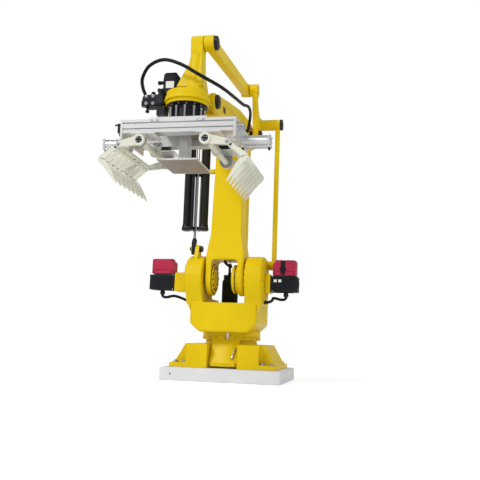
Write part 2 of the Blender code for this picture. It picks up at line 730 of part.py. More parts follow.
def make_lower_arm():
    """A fork at the shoulder, a tapered box beam, and a hub at the elbow."""
    z0 = SHOULDER.y
    low_z, knee_z = z0 + ARM_LOW_Z, z0 + ARM_KNEE_Z
    top_z = ELBOW.y
    y0 = SHOULDER.x
    head = circle_arc(ELBOW, ARM_HEAD_RADIUS, 0, math.pi, 2 * ARC_STEPS)
    side_outline = [Vector((y0 + ARM_TOP_DEPTH, top_z - ARM_HEAD_RADIUS)), *head,
                    Vector((y0 - ARM_TOP_DEPTH, top_z - ARM_HEAD_RADIUS)),
                    Vector((y0 - ARM_KNEE_DEPTH, knee_z)),
                    Vector((y0 - ARM_LOW_DEPTH, low_z))]
    side_outline += circle_arc(SHOULDER, FORK_RADIUS, math.radians(165), math.radians(375),
                               2 * ARC_STEPS)
    side_outline += [Vector((y0 + ARM_LOW_DEPTH, low_z)), Vector((y0 + ARM_KNEE_DEPTH, knee_z))]
    arm = plate("lower_arm", side_outline, "x", -FORK_OUTER, FORK_OUTER,
                "robot_yellow_paint", ARM_BODY_EDGE)
    base_z = z0 - FORK_RADIUS - OVERRUN
    front = mirrored_pair([Vector((FORK_OUTER, base_z)), Vector((ARM_LOW_HALF, low_z)),
                           Vector((ARM_KNEE_HALF, knee_z)),
                           Vector((ARM_TOP_HALF, top_z - ARM_HEAD_RADIUS)),
                           Vector((ARM_TOP_HALF, top_z + ARM_HEAD_RADIUS + OVERRUN))])
    depth = FORK_RADIUS + OVERRUN
    overlap(arm, plate("arm_front", front, "y", y0 - depth, y0 + depth))
    arch = block("fork_arch", (-FORK_INNER, y0 - depth, base_z - OVERRUN),
                 (FORK_INNER, y0 + depth, z0 + ARCH_TOP), edge=ARCH_RADIUS)
    cut(arm, arch)
    join(arm, x_bar("elbow_boss", -ARM_HEAD_BOSS, ARM_HEAD_BOSS, ELBOW, ARM_BOSS_RADIUS))
    bore(arm, ELBOW, ELBOW_SHAFT_RADIUS, -ARM_HEAD_BOSS, ARM_HEAD_BOSS, ROUND_SIDES)
    join(arm, x_bar("trunnion", BALANCE_X + BALANCE_SPREAD + GAP, -ARM_KNEE_HALF / 2,
                    BALANCE_PIN, TRUNNION_RADIUS, sides=PIN_SIDES))
    return bore(arm, SHOULDER, ELBOW_SHAFT_RADIUS, -FORK_OUTER, FORK_OUTER, ROUND_SIDES)


def make_crank():
    crank = x_bar("crank", CRANK_LOW_X, CRANK_HIGH_X, SHOULDER, CRANK_HUB_RADIUS,
                  "robot_yellow_paint", BIG_SIDES)
    web = plate("crank_web", strap(SHOULDER, CRANK_WEB_HALF, CRANK_END,
                                   CRANK_EYE_RADIUS), "x", CRANK_EYE_LOW_X, CRANK_EYE_HIGH_X)
    join(crank, web)
    return bore(crank, CRANK_END, CRANK_PIN_RADIUS, CRANK_LOW_X, CRANK_HIGH_X)


def make_crank_pin():
    """A stout pin through the link's fork and the crank, with a cover on each end."""
    pin = x_bar("crank_pin", LINK_LOW_X - CRANK_HEAD_INNER / 2,
                LINK_HIGH_X + CRANK_HEAD_OUTER / 2, CRANK_END, CRANK_PIN_RADIUS,
                "machined_steel", PIN_SIDES)
    covers = [x_bar("pin_cover", low, high, CRANK_END, CRANK_PIN_HEAD, sides=ROUND_SIDES)
              for low, high in ((LINK_LOW_X - GAP - CRANK_HEAD_INNER, LINK_LOW_X - GAP),
                                (LINK_HIGH_X + GAP, LINK_HIGH_X + GAP + CRANK_HEAD_OUTER))]
    return join(pin, *covers)


def make_drive_link():
    link = plate("drive_link", web(CRANK_END, DRIVE_TOP, LINK_HALF_DEPTH),
                 "x", LINK_LOW_X + EYE_PROUD, LINK_HIGH_X - EYE_PROUD, "robot_yellow_paint")
    eyes = [x_bar("link_eye", LINK_LOW_X, LINK_HIGH_X, end, radius)
            for end, radius in ((CRANK_END, LINK_FOOT_RADIUS), (DRIVE_TOP, LINK_EYE_RADIUS))]
    join(link, *eyes)
    slot = block("link_fork", (CRANK_EYE_LOW_X - GAP, CRANK_END.x - 2 * LINK_EYE_RADIUS,
                               CRANK_END.y - 2 * LINK_EYE_RADIUS),
                 (CRANK_EYE_HIGH_X + GAP, CRANK_END.x + 2 * LINK_EYE_RADIUS,
                  CRANK_END.y + LINK_FORK_DEPTH))
    cut(link, slot)
    bore(link, CRANK_END, CRANK_PIN_RADIUS, LINK_LOW_X, LINK_HIGH_X)
    return bore(link, DRIVE_TOP, PIN_RADIUS, LINK_LOW_X, LINK_HIGH_X)


def along_reach(distance, rise=0.0):
    """A point in the upper arm's own frame, measured from the elbow."""
    up = Vector((-REACH_DIR.y, REACH_DIR.x))
    if up.y < 0:
        up = -up
    return ELBOW + REACH_DIR * distance + up * rise


def make_upper_arm():
    """Two cheeks at the elbow, a deep beam, and a fork that holds the wrist."""
    heading = math.atan2(REACH_DIR.y, REACH_DIR.x)
    mid, fore = REACH_LENGTH * UPPER_MID_SHARE, REACH_LENGTH * UPPER_FORE_SHARE
    nose = circle_arc(WRIST, UPPER_NOSE_RADIUS, heading - math.radians(80),
                      heading + math.radians(80))
    rear = circle_arc(DRIVE_TOP, REAR_EYE_RADIUS, heading + math.radians(110),
                      heading + math.radians(250))
    outline = [along_reach(0, UPPER_HUB_RADIUS), along_reach(mid, UPPER_MID_TOP),
               along_reach(fore, UPPER_FORE_TOP), *nose,
               along_reach(fore, -UPPER_FORE_DROP), along_reach(mid, -UPPER_MID_DROP),
               along_reach(0, -UPPER_HUB_RADIUS), *rear]
    beam = plate("upper_arm", outline, "x", -CHEEK_OUTER, CHEEK_OUTER,
                 "robot_yellow_paint", UPPER_EDGE)
    cheek_gap = plate("cheek_gap", [along_reach(CHEEK_REACH, 2 * UPPER_HUB_RADIUS),
                                    along_reach(CHEEK_REACH, -2 * UPPER_HUB_RADIUS),
                                    along_reach(-2 * DRIVE_THROW, -2 * UPPER_HUB_RADIUS),
                                    along_reach(-2 * DRIVE_THROW, 2 * UPPER_HUB_RADIUS)],
                      "x", -CHEEK_INNER, CHEEK_INNER)
    start = REACH_LENGTH - NOSE_SLOT
    nose_gap = plate("nose_gap", [along_reach(REACH_LENGTH + NOSE_SLOT, NOSE_SLOT * 2),
                                  along_reach(REACH_LENGTH + NOSE_SLOT, -NOSE_SLOT * 2),
                                  along_reach(start, -NOSE_SLOT * 2),
                                  along_reach(start, NOSE_SLOT * 2)],
                     "x", -CHEEK_INNER, CHEEK_INNER)
    centre = REACH_LENGTH * WINDOW_SHARE
    half_length, half_height = WINDOW_LENGTH / 2, WINDOW_HEIGHT / 2
    window = plate("arm_window", [along_reach(centre - half_length, half_height),
                                  along_reach(centre + half_length, half_height),
                                  along_reach(centre + half_length, -half_height),
                                  along_reach(centre - half_length, -half_height)],
                   "x", -CHEEK_OUTER - OVERRUN, CHEEK_OUTER + OVERRUN)
    cut(beam, cheek_gap, nose_gap, window)
    bore(beam, ELBOW, ELBOW_SHAFT_RADIUS, -CHEEK_OUTER, CHEEK_OUTER, ROUND_SIDES)
    join(beam, x_bar("drive_top_pin", -CHEEK_INNER - OVERRUN, CHEEK_INNER + OVERRUN,
                     DRIVE_TOP, PIN_RADIUS, sides=PIN_SIDES))
    return bore(beam, WRIST, PIN_RADIUS, -CHEEK_OUTER, CHEEK_OUTER)


def pin_and_cap(inner, outer, centre, head_radius, head, radius=PIN_RADIUS):
    """A pin from inside its carrier to outer, and the cap that keeps a link on it."""
    side = 1 if outer > inner else -1
    near, far = outer + side * GAP, outer + side * (GAP + head)
    return (x_bar("pin", min(inner, far), max(inner, far), centre, radius, sides=PIN_SIDES),
            x_bar("pin_cap", min(near, far), max(near, far), centre, head_radius))


def make_headed_pin(name, low, high, centre, radius, head_radius, head, sides=PIN_SIDES):
    """A pin with a round bearing cap on its outer end."""
    pin = x_bar(name, low, high + head, centre, radius, "black_oxide_steel", sides)
    cap = x_bar(name + "_cap", high + GAP, high + head, centre, head_radius)
    return join(pin, cap)


def make_elbow_bracket():
    """The plate that stays level: elbow hub, front eye and rear boss in one casting."""
    outline = circle_arc(ELBOW, BRACKET_HUB_RADIUS, math.radians(170), math.radians(325))
    outline += circle_arc(BRACKET_REAR, BRACKET_REAR_RADIUS, math.radians(-40),
                          math.radians(125))
    outline += [BRACKET_REAR.lerp(BRACKET_FRONT, share) + Vector((-dip, -dip / 2))
                for share, dip in BRACKET_WAIST]
    outline += circle_arc(BRACKET_FRONT, BRACKET_EYE_RADIUS * WEB_SHARE, math.radians(-10),
                          math.radians(190))
    bracket = plate("elbow_bracket", outline, "x", BRACKET_LOW_X + EYE_PROUD,
                    BRACKET_HIGH_X - EYE_PROUD, "robot_yellow_paint", BRACKET_EDGE)
    hub = x_bar("bracket_hub", BRACKET_LOW_X, BRACKET_HIGH_X, ELBOW,
                BRACKET_HUB_RADIUS * WEB_SHARE)
    eye = x_bar("bracket_eye", BRACKET_EYE_LOW_X, BRACKET_HIGH_X, BRACKET_FRONT,
                BRACKET_EYE_RADIUS)
    boss = x_bar("bracket_boss", BRACKET_LOW_X, ROD_LOW_X - GAP, BRACKET_REAR,
                 REAR_BOSS_RADIUS)
    join(bracket, hub, eye, boss)
    bore(bracket, ELBOW, ELBOW_SHAFT_RADIUS, BRACKET_LOW_X, BRACKET_HIGH_X, ROUND_SIDES)
    return join(bracket,
                *pin_and_cap(BRACKET_HIGH_X - OVERRUN, TOP_LINK_LOW_X, BRACKET_FRONT,
                             PIN_HEAD_RADIUS, PIN_HEAD),
                *pin_and_cap(ROD_LOW_X - OVERRUN, ROD_HIGH_X, BRACKET_REAR, CAP_RADIUS,
                             CAP_THICK))


def make_levelling_rod():
    rod = plate("levelling_rod", web(ROD_FOOT, BRACKET_REAR, ROD_HALF_DEPTH),
                "x", ROD_LOW_X + EYE_PROUD, ROD_HIGH_X - EYE_PROUD, "robot_yellow_paint",
                ROD_EDGE)
    foot = x_bar("rod_foot_eye", ROD_LOW_X, ROD_HIGH_X, ROD_FOOT, ROD_FOOT_RADIUS)
    head = x_bar("rod_head_eye", ROD_LOW_X, ROD_HIGH_X, BRACKET_REAR, ROD_EYE_RADIUS)
    join(rod, foot, head)
    bore(rod, ROD_FOOT, PIN_RADIUS, ROD_LOW_X, ROD_HIGH_X)
    return bore(rod, BRACKET_REAR, PIN_RADIUS, ROD_LOW_X, ROD_HIGH_X)


def make_top_link():
    link = plate("top_link", web(BRACKET_FRONT, TOWER_TOP, TOP_LINK_HALF),
                 "x", TOP_LINK_LOW_X + EYE_PROUD, TOP_LINK_HIGH_X - EYE_PROUD,
                 "robot_yellow_paint", TOP_LINK_EDGE)
    eyes = [x_bar("top_link_eye", TOP_LINK_LOW_X, TOP_LINK_HIGH_X, end, TOP_LINK_EYE)
            for end in (BRACKET_FRONT, TOWER_TOP)]
    join(link, *eyes)
    bore(link, BRACKET_FRONT, PIN_RADIUS, TOP_LINK_LOW_X, TOP_LINK_HIGH_X)
    return bore(link, TOWER_TOP, PIN_RADIUS, TOP_LINK_LOW_X, TOP_LINK_HIGH_X)


def make_balancer_tubes():
    """Two gas tubes between end plates, swung on a trunnion block between them."""
    y0 = BALANCE_PIN.x
    tubes = [bar("gas_tube", (BALANCE_X + side * BALANCE_SPREAD, y0, BALANCE_LOW_Z),
                 (BALANCE_X + side * BALANCE_SPREAD, y0, BALANCE_HIGH_Z), BALANCE_TUBE,
                 "black_oxide_steel" if side < 0 else None, ROUND_SIDES)
             for side in (-1, 1)]
    body = tubes[0]
    body.name = "balancer_tubes"
    half = BALANCE_SPREAD + BALANCE_TUBE
    depth = BALANCE_PLATE_DEPTH / 2
    for name, low in (("low_plate", BALANCE_LOW_Z), ("high_plate", BALANCE_HIGH_Z - BALANCE_PLATE)):
        tubes.append(block(name, (BALANCE_X - half, y0 - depth, low),
                           (BALANCE_X + half, y0 + depth, low + BALANCE_PLATE),
                           edge=MOTOR_TAIL_INSET))
    for edge in (-1, 1):
        near = y0 + edge * (BALANCE_SLOT_HALF + RUN_GAP)
        far = y0 + edge * (BALANCE_SLOT_HALF + RUN_GAP + PIN_HEAD)
        tubes.append(block("trunnion_strap",
                           (BALANCE_X - BALANCE_SPREAD, min(near, far),
                            BALANCE_PIN.y - BALANCE_BLOCK / 2),
                           (BALANCE_X + BALANCE_SPREAD, max(near, far),
                            BALANCE_PIN.y + BALANCE_BLOCK / 2)))
    join(body, *tubes[1:])
    slot = block("rod_slot", (BALANCE_X - BALANCE_SLOT_SIDE, y0 - BALANCE_SLOT_HALF,
                              BALANCE_LOW_Z - OVERRUN),
                 (BALANCE_X + BALANCE_SLOT_SIDE, y0 + BALANCE_SLOT_HALF,
                  BALANCE_LOW_Z + BALANCE_PLATE + OVERRUN))
    cut(body, slot)
    inner = BALANCE_X + BALANCE_SPREAD
    socket = x_bar("trunnion_socket", inner, inner + 2 * BALANCE_TUBE, BALANCE_PIN,
                   TRUNNION_RADIUS + PLAY, sides=PIN_SIDES)
    return cut(body, socket)


def make_balancer_rod():
    """Chrome rod that runs between the gas tubes, with the clevis that pins it."""
    low = LUG_PIN.y
    rod = bar("balancer_rod", (BALANCE_X, LUG_PIN.x, low), (BALANCE_X, LUG_PIN.x,
                                                           low + BALANCE_ROD_LENGTH),
              BALANCE_ROD, "machined_steel", PIN_SIDES)
    high_x = LUG_X - LUG_THICK / 2 - GAP
    clevis = block("clevis", (high_x - CLEVIS_WIDTH, LUG_PIN.x - CLEVIS_DEPTH / 2,
                              low - CLEVIS_DEPTH),
                   (high_x, LUG_PIN.x + CLEVIS_DEPTH / 2, low - CLEVIS_DEPTH + CLEVIS_HEIGHT),
                   edge=PIN_HEAD)
    join(rod, clevis)
    return bore(rod, LUG_PIN, PIN_RADIUS, high_x - CLEVIS_WIDTH, high_x)


def make_wrist_housing():
    """Round housing over the tool axis, carried by a hub on the wrist pin."""
    ring = bar("wrist_housing", (0, TOOL_Y, RING_LOW), (0, TOOL_Y, RING_HIGH), RING_RADIUS,
               "robot_yellow_paint", BIG_SIDES)
    lip = bar("ring_lip", (0, TOOL_Y, RING_LOW + RING_LIP_HEIGHT),
              (0, TOOL_Y, RING_LOW + 2 * RING_LIP_HEIGHT), RING_RADIUS + RING_LIP,
              sides=BIG_SIDES)
    neck = block("wrist_neck", (TOWER_FOOT_LOW_X, TOOL_Y, WRIST.y - WRIST_NECK_HEIGHT),
                 (TOWER_FOOT_HIGH_X, WRIST.x, WRIST.y + WRIST_NECK_HEIGHT))
    hub = x_bar("wrist_hub", -WRIST_HUB_HALF, WRIST_HUB_HALF, WRIST, WRIST_HUB_RADIUS)
    join(ring, lip, neck, hub)
    for side in (-1, 1):
        join(ring, *pin_and_cap(side * WRIST_HUB_HALF / 2, side * CHEEK_OUTER, WRIST,
                                CAP_RADIUS, CAP_THICK))
    return ring


def make_wrist_tower():
    """A leaning A-frame that holds the front pin of the top link."""
    foot_z = WRIST.y + WRIST_NECK_HEIGHT + GAP
    top = TOWER_TOP
    outline = [Vector((TOWER_FOOT_LOW_X, foot_z)), Vector((TOWER_FOOT_HIGH_X, foot_z)),
               Vector((TOWER_HIGH_X, foot_z + TOWER_WAIST)),
               Vector((TOWER_HIGH_X, top.y + TOWER_EYE)),
               Vector((TOWER_LOW_X, top.y + TOWER_EYE)),
               Vector((TOWER_LOW_X, foot_z + 1.4 * TOWER_WAIST))]
    tower = plate("wrist_tower", outline, "y", WRIST.x - WRIST_OFFSET - TOWER_FOOT_FRONT,
                  WRIST.x + TOWER_FOOT_BACK, "robot_yellow_paint")
    profile = [Vector((WRIST.x - TOWER_FOOT_BACK, foot_z - OVERRUN)),
               Vector((top.x + TOWER_EYE * 0.7, top.y - TOWER_EYE))]
    profile += circle_arc(top, TOWER_EYE, math.radians(-20), math.radians(200))
    profile += [Vector((top.x - TOWER_EYE * 0.85, top.y - 2 * TOWER_EYE)),
                Vector((TOOL_Y - TOWER_FOOT_FRONT * 0.4, foot_z - OVERRUN))]
    overlap(tower, plate("tower_profile", profile, "x", TOWER_FOOT_LOW_X - OVERRUN,
                         TOWER_FOOT_HIGH_X + OVERRUN, edge=TOWER_EDGE))
    return join(tower, *pin_and_cap(TOWER_HIGH_X - OVERRUN, TOP_LINK_HIGH_X, TOWER_TOP,
                                    CAP_RADIUS, CAP_THICK))


def make_wrist_motor():
    half = WRIST_MOTOR_SIZE / 2
    low = RING_HIGH + GAP
    y0 = WRIST.x - WRIST_MOTOR_BACK - half
    x0 = TOWER_FOOT_LOW_X - RUN_GAP - half
    return block("wrist_motor", (x0 - half, y0 - half, low),
                 (x0 + half, y0 + half, low + WRIST_MOTOR_HEIGHT), "motor_black", MOTOR_EDGE)


def make_valve_block():
    high = -(RING_RADIUS + RING_LIP) - GAP
    mid_z = (RING_LOW + RING_HIGH) / 2
    return block("connector_block",
                 (high - VALVE_LENGTH, TOOL_Y - VALVE_DEPTH / 2, mid_z - VALVE_HEIGHT / 2),
                 (high, TOOL_Y + VALVE_DEPTH / 2, mid_z + VALVE_HEIGHT / 2),
                 "motor_black", VALVE_EDGE)


# Places the hose passes: about the ring's top, then about the elbow
HOSE_OVER_WRIST = ((-0.315, -0.01, 0.06), (-0.34, -0.022, 0.13), (-0.28, -0.057, 0.205),
                   (-0.165, -0.087, 0.233), (-0.03, -0.107, 0.185), (0.11, -0.087, 0.105),
                   (0.235, 0.023, 0.055), (0.28, 0.263, 0.065))
HOSE_BESIDE_ARM = ((0.285, -0.925, -0.02), (0.275, -0.675, 0.05), (0.255, -0.475, 0.07),
                   (0.225, -0.345, 0.03))
HOSE_END = Vector((-0.285, -0.04))
HOSE_END_REACH = (2.6, 1.6)


def make_hose():
    """The dress hose from the connector block to the side of the upper arm."""
    start_x = -(RING_RADIUS + RING_LIP) - GAP - VALVE_LENGTH * 0.8
    start_z = (RING_LOW + RING_HIGH) / 2 + VALVE_HEIGHT / 2 + GAP
    end_y, end_z = ELBOW.x + HOSE_END.x, ELBOW.y + HOSE_END.y
    route = [(start_x, TOOL_Y, start_z), (start_x, TOOL_Y, start_z + 2 * HOSE_RADIUS)]
    route += [(x, TOOL_Y + y, RING_HIGH + z) for x, y, z in HOSE_OVER_WRIST]
    route += [(x, ELBOW.x + y, ELBOW.y + z) for x, y, z in HOSE_BESIDE_ARM]
    route += [(CHEEK_OUTER + reach * HOSE_RADIUS, end_y, end_z) for reach in HOSE_END_REACH]
    route += [(CHEEK_OUTER + GAP, end_y, end_z)]
    return tube("dress_hose", route, HOSE_RADIUS, "black_rubber")


def make_tool_flange():
    top = RING_LOW - GAP
    flange = bar("tool_flange", (0, TOOL_Y, TOOL_PLATE_TOP + GAP), (0, TOOL_Y, top),
                 FLANGE_TOP_RADIUS, "machined_steel", ROUND_SIDES)
    return flange


def make_tool_plate():
    return block("tool_plate",
                 (-TOOL_PLATE_HALF, TOOL_Y - TOOL_PLATE_DEPTH / 2,
                  TOOL_PLATE_TOP - TOOL_PLATE_THICK),
                 (TOOL_PLATE_HALF, TOOL_Y + TOOL_PLATE_DEPTH / 2, TOOL_PLATE_TOP),
                 "plate_aluminium")


def rail_top():
    return TOOL_PLATE_TOP - TOOL_PLATE_THICK - GAP


def make_rail(name, side):
    """An aluminium profile along X with two grooves on its outer face."""
    outer = TOOL_Y + side * RAIL_SPAN / 2
    inner = outer - side * RAIL_DEPTH
    top = rail_top()
    rail = block(name, (-RAIL_HALF, min(outer, inner), top - RAIL_HEIGHT),
                 (RAIL_HALF, max(outer, inner), top), "extruded_aluminium")
    for share in (RAIL_SLOT_SHARE, 1 - RAIL_SLOT_SHARE):
        mid = top - RAIL_HEIGHT * share
        near, far = outer - side * RAIL_SLOT_DEPTH, outer + side * OVERRUN
        groove = block("rail_groove",
                       (-RAIL_HALF - OVERRUN, min(near, far), mid - RAIL_SLOT / 2),
                       (RAIL_HALF + OVERRUN, max(near, far), mid + RAIL_SLOT / 2))
        cut(rail, groove)
    return rail


def make_stop():
    """Cross beam between the rails, a post, and the plate that steadies the bag."""
    top = rail_top()
    inner = RAIL_SPAN / 2 - RAIL_DEPTH - GAP
    stop = block("stop_plate", (-STOP_HALF, TOOL_Y - STOP_DEPTH / 2, STOP_Z),
                 (STOP_HALF, TOOL_Y + STOP_DEPTH / 2, STOP_Z + STOP_THICK),
                 "plate_aluminium")
    post = block("stop_post", (-STOP_POST / 2, TOOL_Y - STOP_POST, STOP_Z + STOP_THICK / 2),
                 (STOP_POST / 2, TOOL_Y + STOP_POST, top - STOP_CROSS_HEIGHT / 2))
    cross = block("stop_cross", (-STOP_CROSS, TOOL_Y - inner, top - STOP_CROSS_HEIGHT),
                  (STOP_CROSS, TOOL_Y + inner, top))
    return join(stop, post, cross)


def make_hanger(side, word):
    """A strip under both rails with a bearing plate at each end for one jaw."""
    top = rail_top() - RAIL_HEIGHT - GAP
    x0 = side * JAW_X
    half = HANGER_WIDTH / 2
    leg_y = JAW_HALF_LENGTH - JAW_LEVER_THICK - RUN_GAP
    hanger = block(word + "_hanger", (x0 - half, TOOL_Y - leg_y, top - HANGER_THICK),
                   (x0 + half, TOOL_Y + leg_y, top), "plate_aluminium")
    for end in (-1, 1):
        near = TOOL_Y + end * leg_y
        far = near - end * HANGER_LEG
        leg = plate("bearing_leg",
                    [Vector((x0 - half, top - HANGER_THICK / 2)),
                     *circle_arc((x0, JAW_Z), JAW_BEARING, math.radians(200), math.radians(340)),
                     Vector((x0 + half, top - HANGER_THICK / 2))],
                    "y", min(near, far), max(near, far))
        join(hanger, leg)
    shaft_room = bar("shaft_room", (x0, TOOL_Y - JAW_HALF_LENGTH, JAW_Z),
                     (x0, TOOL_Y + JAW_HALF_LENGTH, JAW_Z), JAW_SHAFT + PLAY, sides=PIN_SIDES)
    return cut(hanger, shaft_room)


def jaw_point(side, offset):
    return Vector((side * (JAW_X + offset[0]), JAW_Z + offset[1]))


def horn_tip(side):
    """The slot of the jaw's driving horn, at the height of the cylinder's rod."""
    reach = Vector((-math.sin(HORN_LEAN), math.cos(HORN_LEAN))) * HORN_LENGTH
    return jaw_point(side, reach)


def make_jaw(side, word):
    """Shaft, two levers, the bar that the fingers bolt to, and the driving horn."""
    x0 = side * JAW_X
    jaw = bar(word + "_jaw", (x0, TOOL_Y - JAW_HALF_LENGTH, JAW_Z),
              (x0, TOOL_Y + JAW_HALF_LENGTH, JAW_Z), JAW_SHAFT, "jaw_ivory_paint", PIN_SIDES)
    centre = jaw_point(side, (0, 0))
    bar_end = jaw_point(side, JAW_BAR)
    for end in (-1, 1):
        near = TOOL_Y + end * JAW_HALF_LENGTH
        far = near - end * JAW_LEVER_THICK
        lever = plate("lever", strap(centre, JAW_LEVER_RADIUS, bar_end, JAW_BAR_RADIUS), "y",
                      min(near, far), max(near, far))
        join(jaw, lever)
    join(jaw, bar("jaw_bar", (bar_end.x, TOOL_Y - JAW_HALF_LENGTH, bar_end.y),
                  (bar_end.x, TOOL_Y + JAW_HALF_LENGTH, bar_end.y), JAW_BAR_RADIUS * 0.6,
                  sides=PIN_SIDES))
    tip = horn_tip(side)
    low, high = CYLINDER_Y - HORN_THICK / 2, CYLINDER_Y + HORN_THICK / 2
    horn = plate("horn", strap(centre, JAW_LEVER_RADIUS, tip, HORN_WIDTH), "y", low, high)
    join(jaw, horn)
    along = (tip - centre).normalized()
    slot = plate("horn_slot", strap(tip - along * HORN_SLOT_LENGTH, HORN_SLOT,
                                    tip + along * HORN_SLOT_END, HORN_SLOT),
                 "y", low - OVERRUN, high + OVERRUN)
    return cut(jaw, slot)


def finger_outline(side):
    """One finger: out from the bar, round the heel, then in to a point."""
    root, heel, tip = (jaw_point(side, v) for v in (JAW_BAR, JAW_CORNER, JAW_TIP))
    out = (heel - root).normalized()
    down = (tip - heel).normalized()
    out_left = Vector((-out.y, out.x)) * side
    down_left = Vector((-down.y, down.x)) * side
    half = FINGER_ROOT / 2
    bend = (out_left + down_left).normalized()
    inner = heel - bend * FINGER_HEEL * 0.6
    outer = heel + bend * FINGER_HEEL
    mid = heel.lerp(tip, 0.5)
    return [root + out_left * half - out * half, root - out_left * half - out * half,
            inner, mid - down_left * FINGER_HEEL * 0.32, tip - down_left * FINGER_POINT * 0.4,
            tip + down_left * FINGER_POINT, mid + down_left * FINGER_HEEL * 0.62,
            outer + down * FINGER_HEEL * 0.8, outer - out * FINGER_HEEL * 0.8]


def make_fingers(side, word):
    """A comb of equal fingers on a flat strip that seats on the jaw's bar."""
    bar_end = jaw_point(side, JAW_BAR)
    half_length = JAW_HALF_LENGTH - JAW_LEVER_THICK - GAP
    pitch = (2 * half_length - FINGER_THICK) / (FINGER_COUNT - 1)
    strip = FINGER_ROOT * 0.62
    out = (JAW_CORNER - JAW_BAR).normalized()
    comb = None
    offset = Vector((side * out.x, out.y)) * (JAW_BAR_RADIUS * 0.6 + strip)
    centre = bar_end + offset
    comb = block(word + "_fingers",
                 (centre.x - strip / 2, TOOL_Y - half_length, centre.y - strip / 2),
                 (centre.x + strip / 2, TOOL_Y + half_length, centre.y + strip / 2),
                 "jaw_ivory_paint")
    for index in range(FINGER_COUNT):
        start = TOOL_Y - half_length + index * pitch
        finger = plate("finger", finger_outline(side), "y", start, start + FINGER_THICK)
        join(comb, finger)
    room = bar("bar_room", (bar_end.x, TOOL_Y - JAW_HALF_LENGTH, bar_end.y),
               (bar_end.x, TOOL_Y + JAW_HALF_LENGTH, bar_end.y), JAW_BAR_RADIUS * 0.6 + GAP,
               sides=PIN_SIDES)
    return cut(comb, room)


def make_cylinder(side, word):
    """A round cylinder on a foot under the rails' ends, bored for its rod."""
    axis_z = horn_tip(side).y
    low, high = side_span(side, CYLINDER_START, CYLINDER_START + CYLINDER_LENGTH)
    body = bar(word + "_cylinder", (low, CYLINDER_Y, axis_z), (high, CYLINDER_Y, axis_z),
               CYLINDER_RADIUS - EYE_PROUD, "extruded_aluminium", ROUND_SIDES)
    for start in (CYLINDER_START, CYLINDER_START + CYLINDER_LENGTH - CYLINDER_HEAD):
        low, high = side_span(side, start, start + CYLINDER_HEAD)
        join(body, block("cylinder_head",
                         (low, CYLINDER_Y - CYLINDER_RADIUS, axis_z - CYLINDER_RADIUS),
                         (high, CYLINDER_Y + CYLINDER_RADIUS, axis_z + CYLINDER_RADIUS),
                         edge=MOTOR_TAIL_INSET))
    low, high = side_span(side, RAIL_HALF + GAP, RAIL_HALF + GAP + CYLINDER_FOOT)
    foot_half = RAIL_SPAN / 2
    foot = block("end_bracket", (low, TOOL_Y - foot_half, axis_z - CYLINDER_RADIUS / 2),
                 (high, TOOL_Y + foot_half, rail_top()))
    join(body, foot)
    room = bar("rod_room", (side * (RAIL_HALF - OVERRUN), CYLINDER_Y, axis_z),
               (side * (CYLINDER_START + CYLINDER_LENGTH * ROD_ROOM_SHARE), CYLINDER_Y, axis_z),
               CYLINDER_ROD + PLAY, sides=PIN_SIDES)
    return cut(body, room)


def make_rod(side, word):
    """The cylinder's rod, with a fork and a cross pin in the horn's slot."""
    tip = horn_tip(side)
    fork_far = HORN_THICK / 2 + RUN_GAP / 2 + PIN_HEAD
    start = tip.x + side * FORK_REACH
    end = side * (CYLINDER_START + CYLINDER_LENGTH * ROD_END_SHARE)
    rod = bar(word + "_rod", (start, CYLINDER_Y, tip.y), (end, CYLINDER_Y, tip.y),
              CYLINDER_ROD, "machined_steel", PIN_SIDES)
    yoke_end = tip.x + side * (FORK_REACH + 2 * PIN_HEAD)
    for edge in (-1, 1):
        near, far = edge * (fork_far - PIN_HEAD), edge * fork_far
        low, high = min(tip.x - side * HORN_PIN * 2, yoke_end), max(tip.x - side * HORN_PIN * 2,
                                                                    yoke_end)
        join(rod, block("fork_side",
                        (low, CYLINDER_Y + min(near, far), tip.y - CYLINDER_ROD),
                        (high, CYLINDER_Y + max(near, far), tip.y + CYLINDER_ROD)))
    low, high = min(start, yoke_end), max(start, yoke_end)
    join(rod, block("fork_back", (low, CYLINDER_Y - fork_far, tip.y - CYLINDER_ROD),
                    (high, CYLINDER_Y + fork_far, tip.y + CYLINDER_ROD)),
         bar("cross_pin", (tip.x, CYLINDER_Y - fork_far + GAP, tip.y),
             (tip.x, CYLINDER_Y + fork_far - GAP, tip.y), HORN_PIN, sides=PIN_SIDES))
    return rod


def body(name, place, parent=None):
    """An empty on a joint's axis, which carries the pieces that move there."""
    made = bpy.data.objects.new(name, None)
    bpy.data.collections[PARTS].objects.link(made)
    made["axis_place"] = tuple(place)
    made.location = Vector(place)
    if parent:
        made.parent = parent
        made.location -= Vector(parent["axis_place"])
    return made


def carry(holder, *pieces):
    for piece in pieces:
        piece.parent = holder
        piece.location -= Vector(holder["axis_place"])


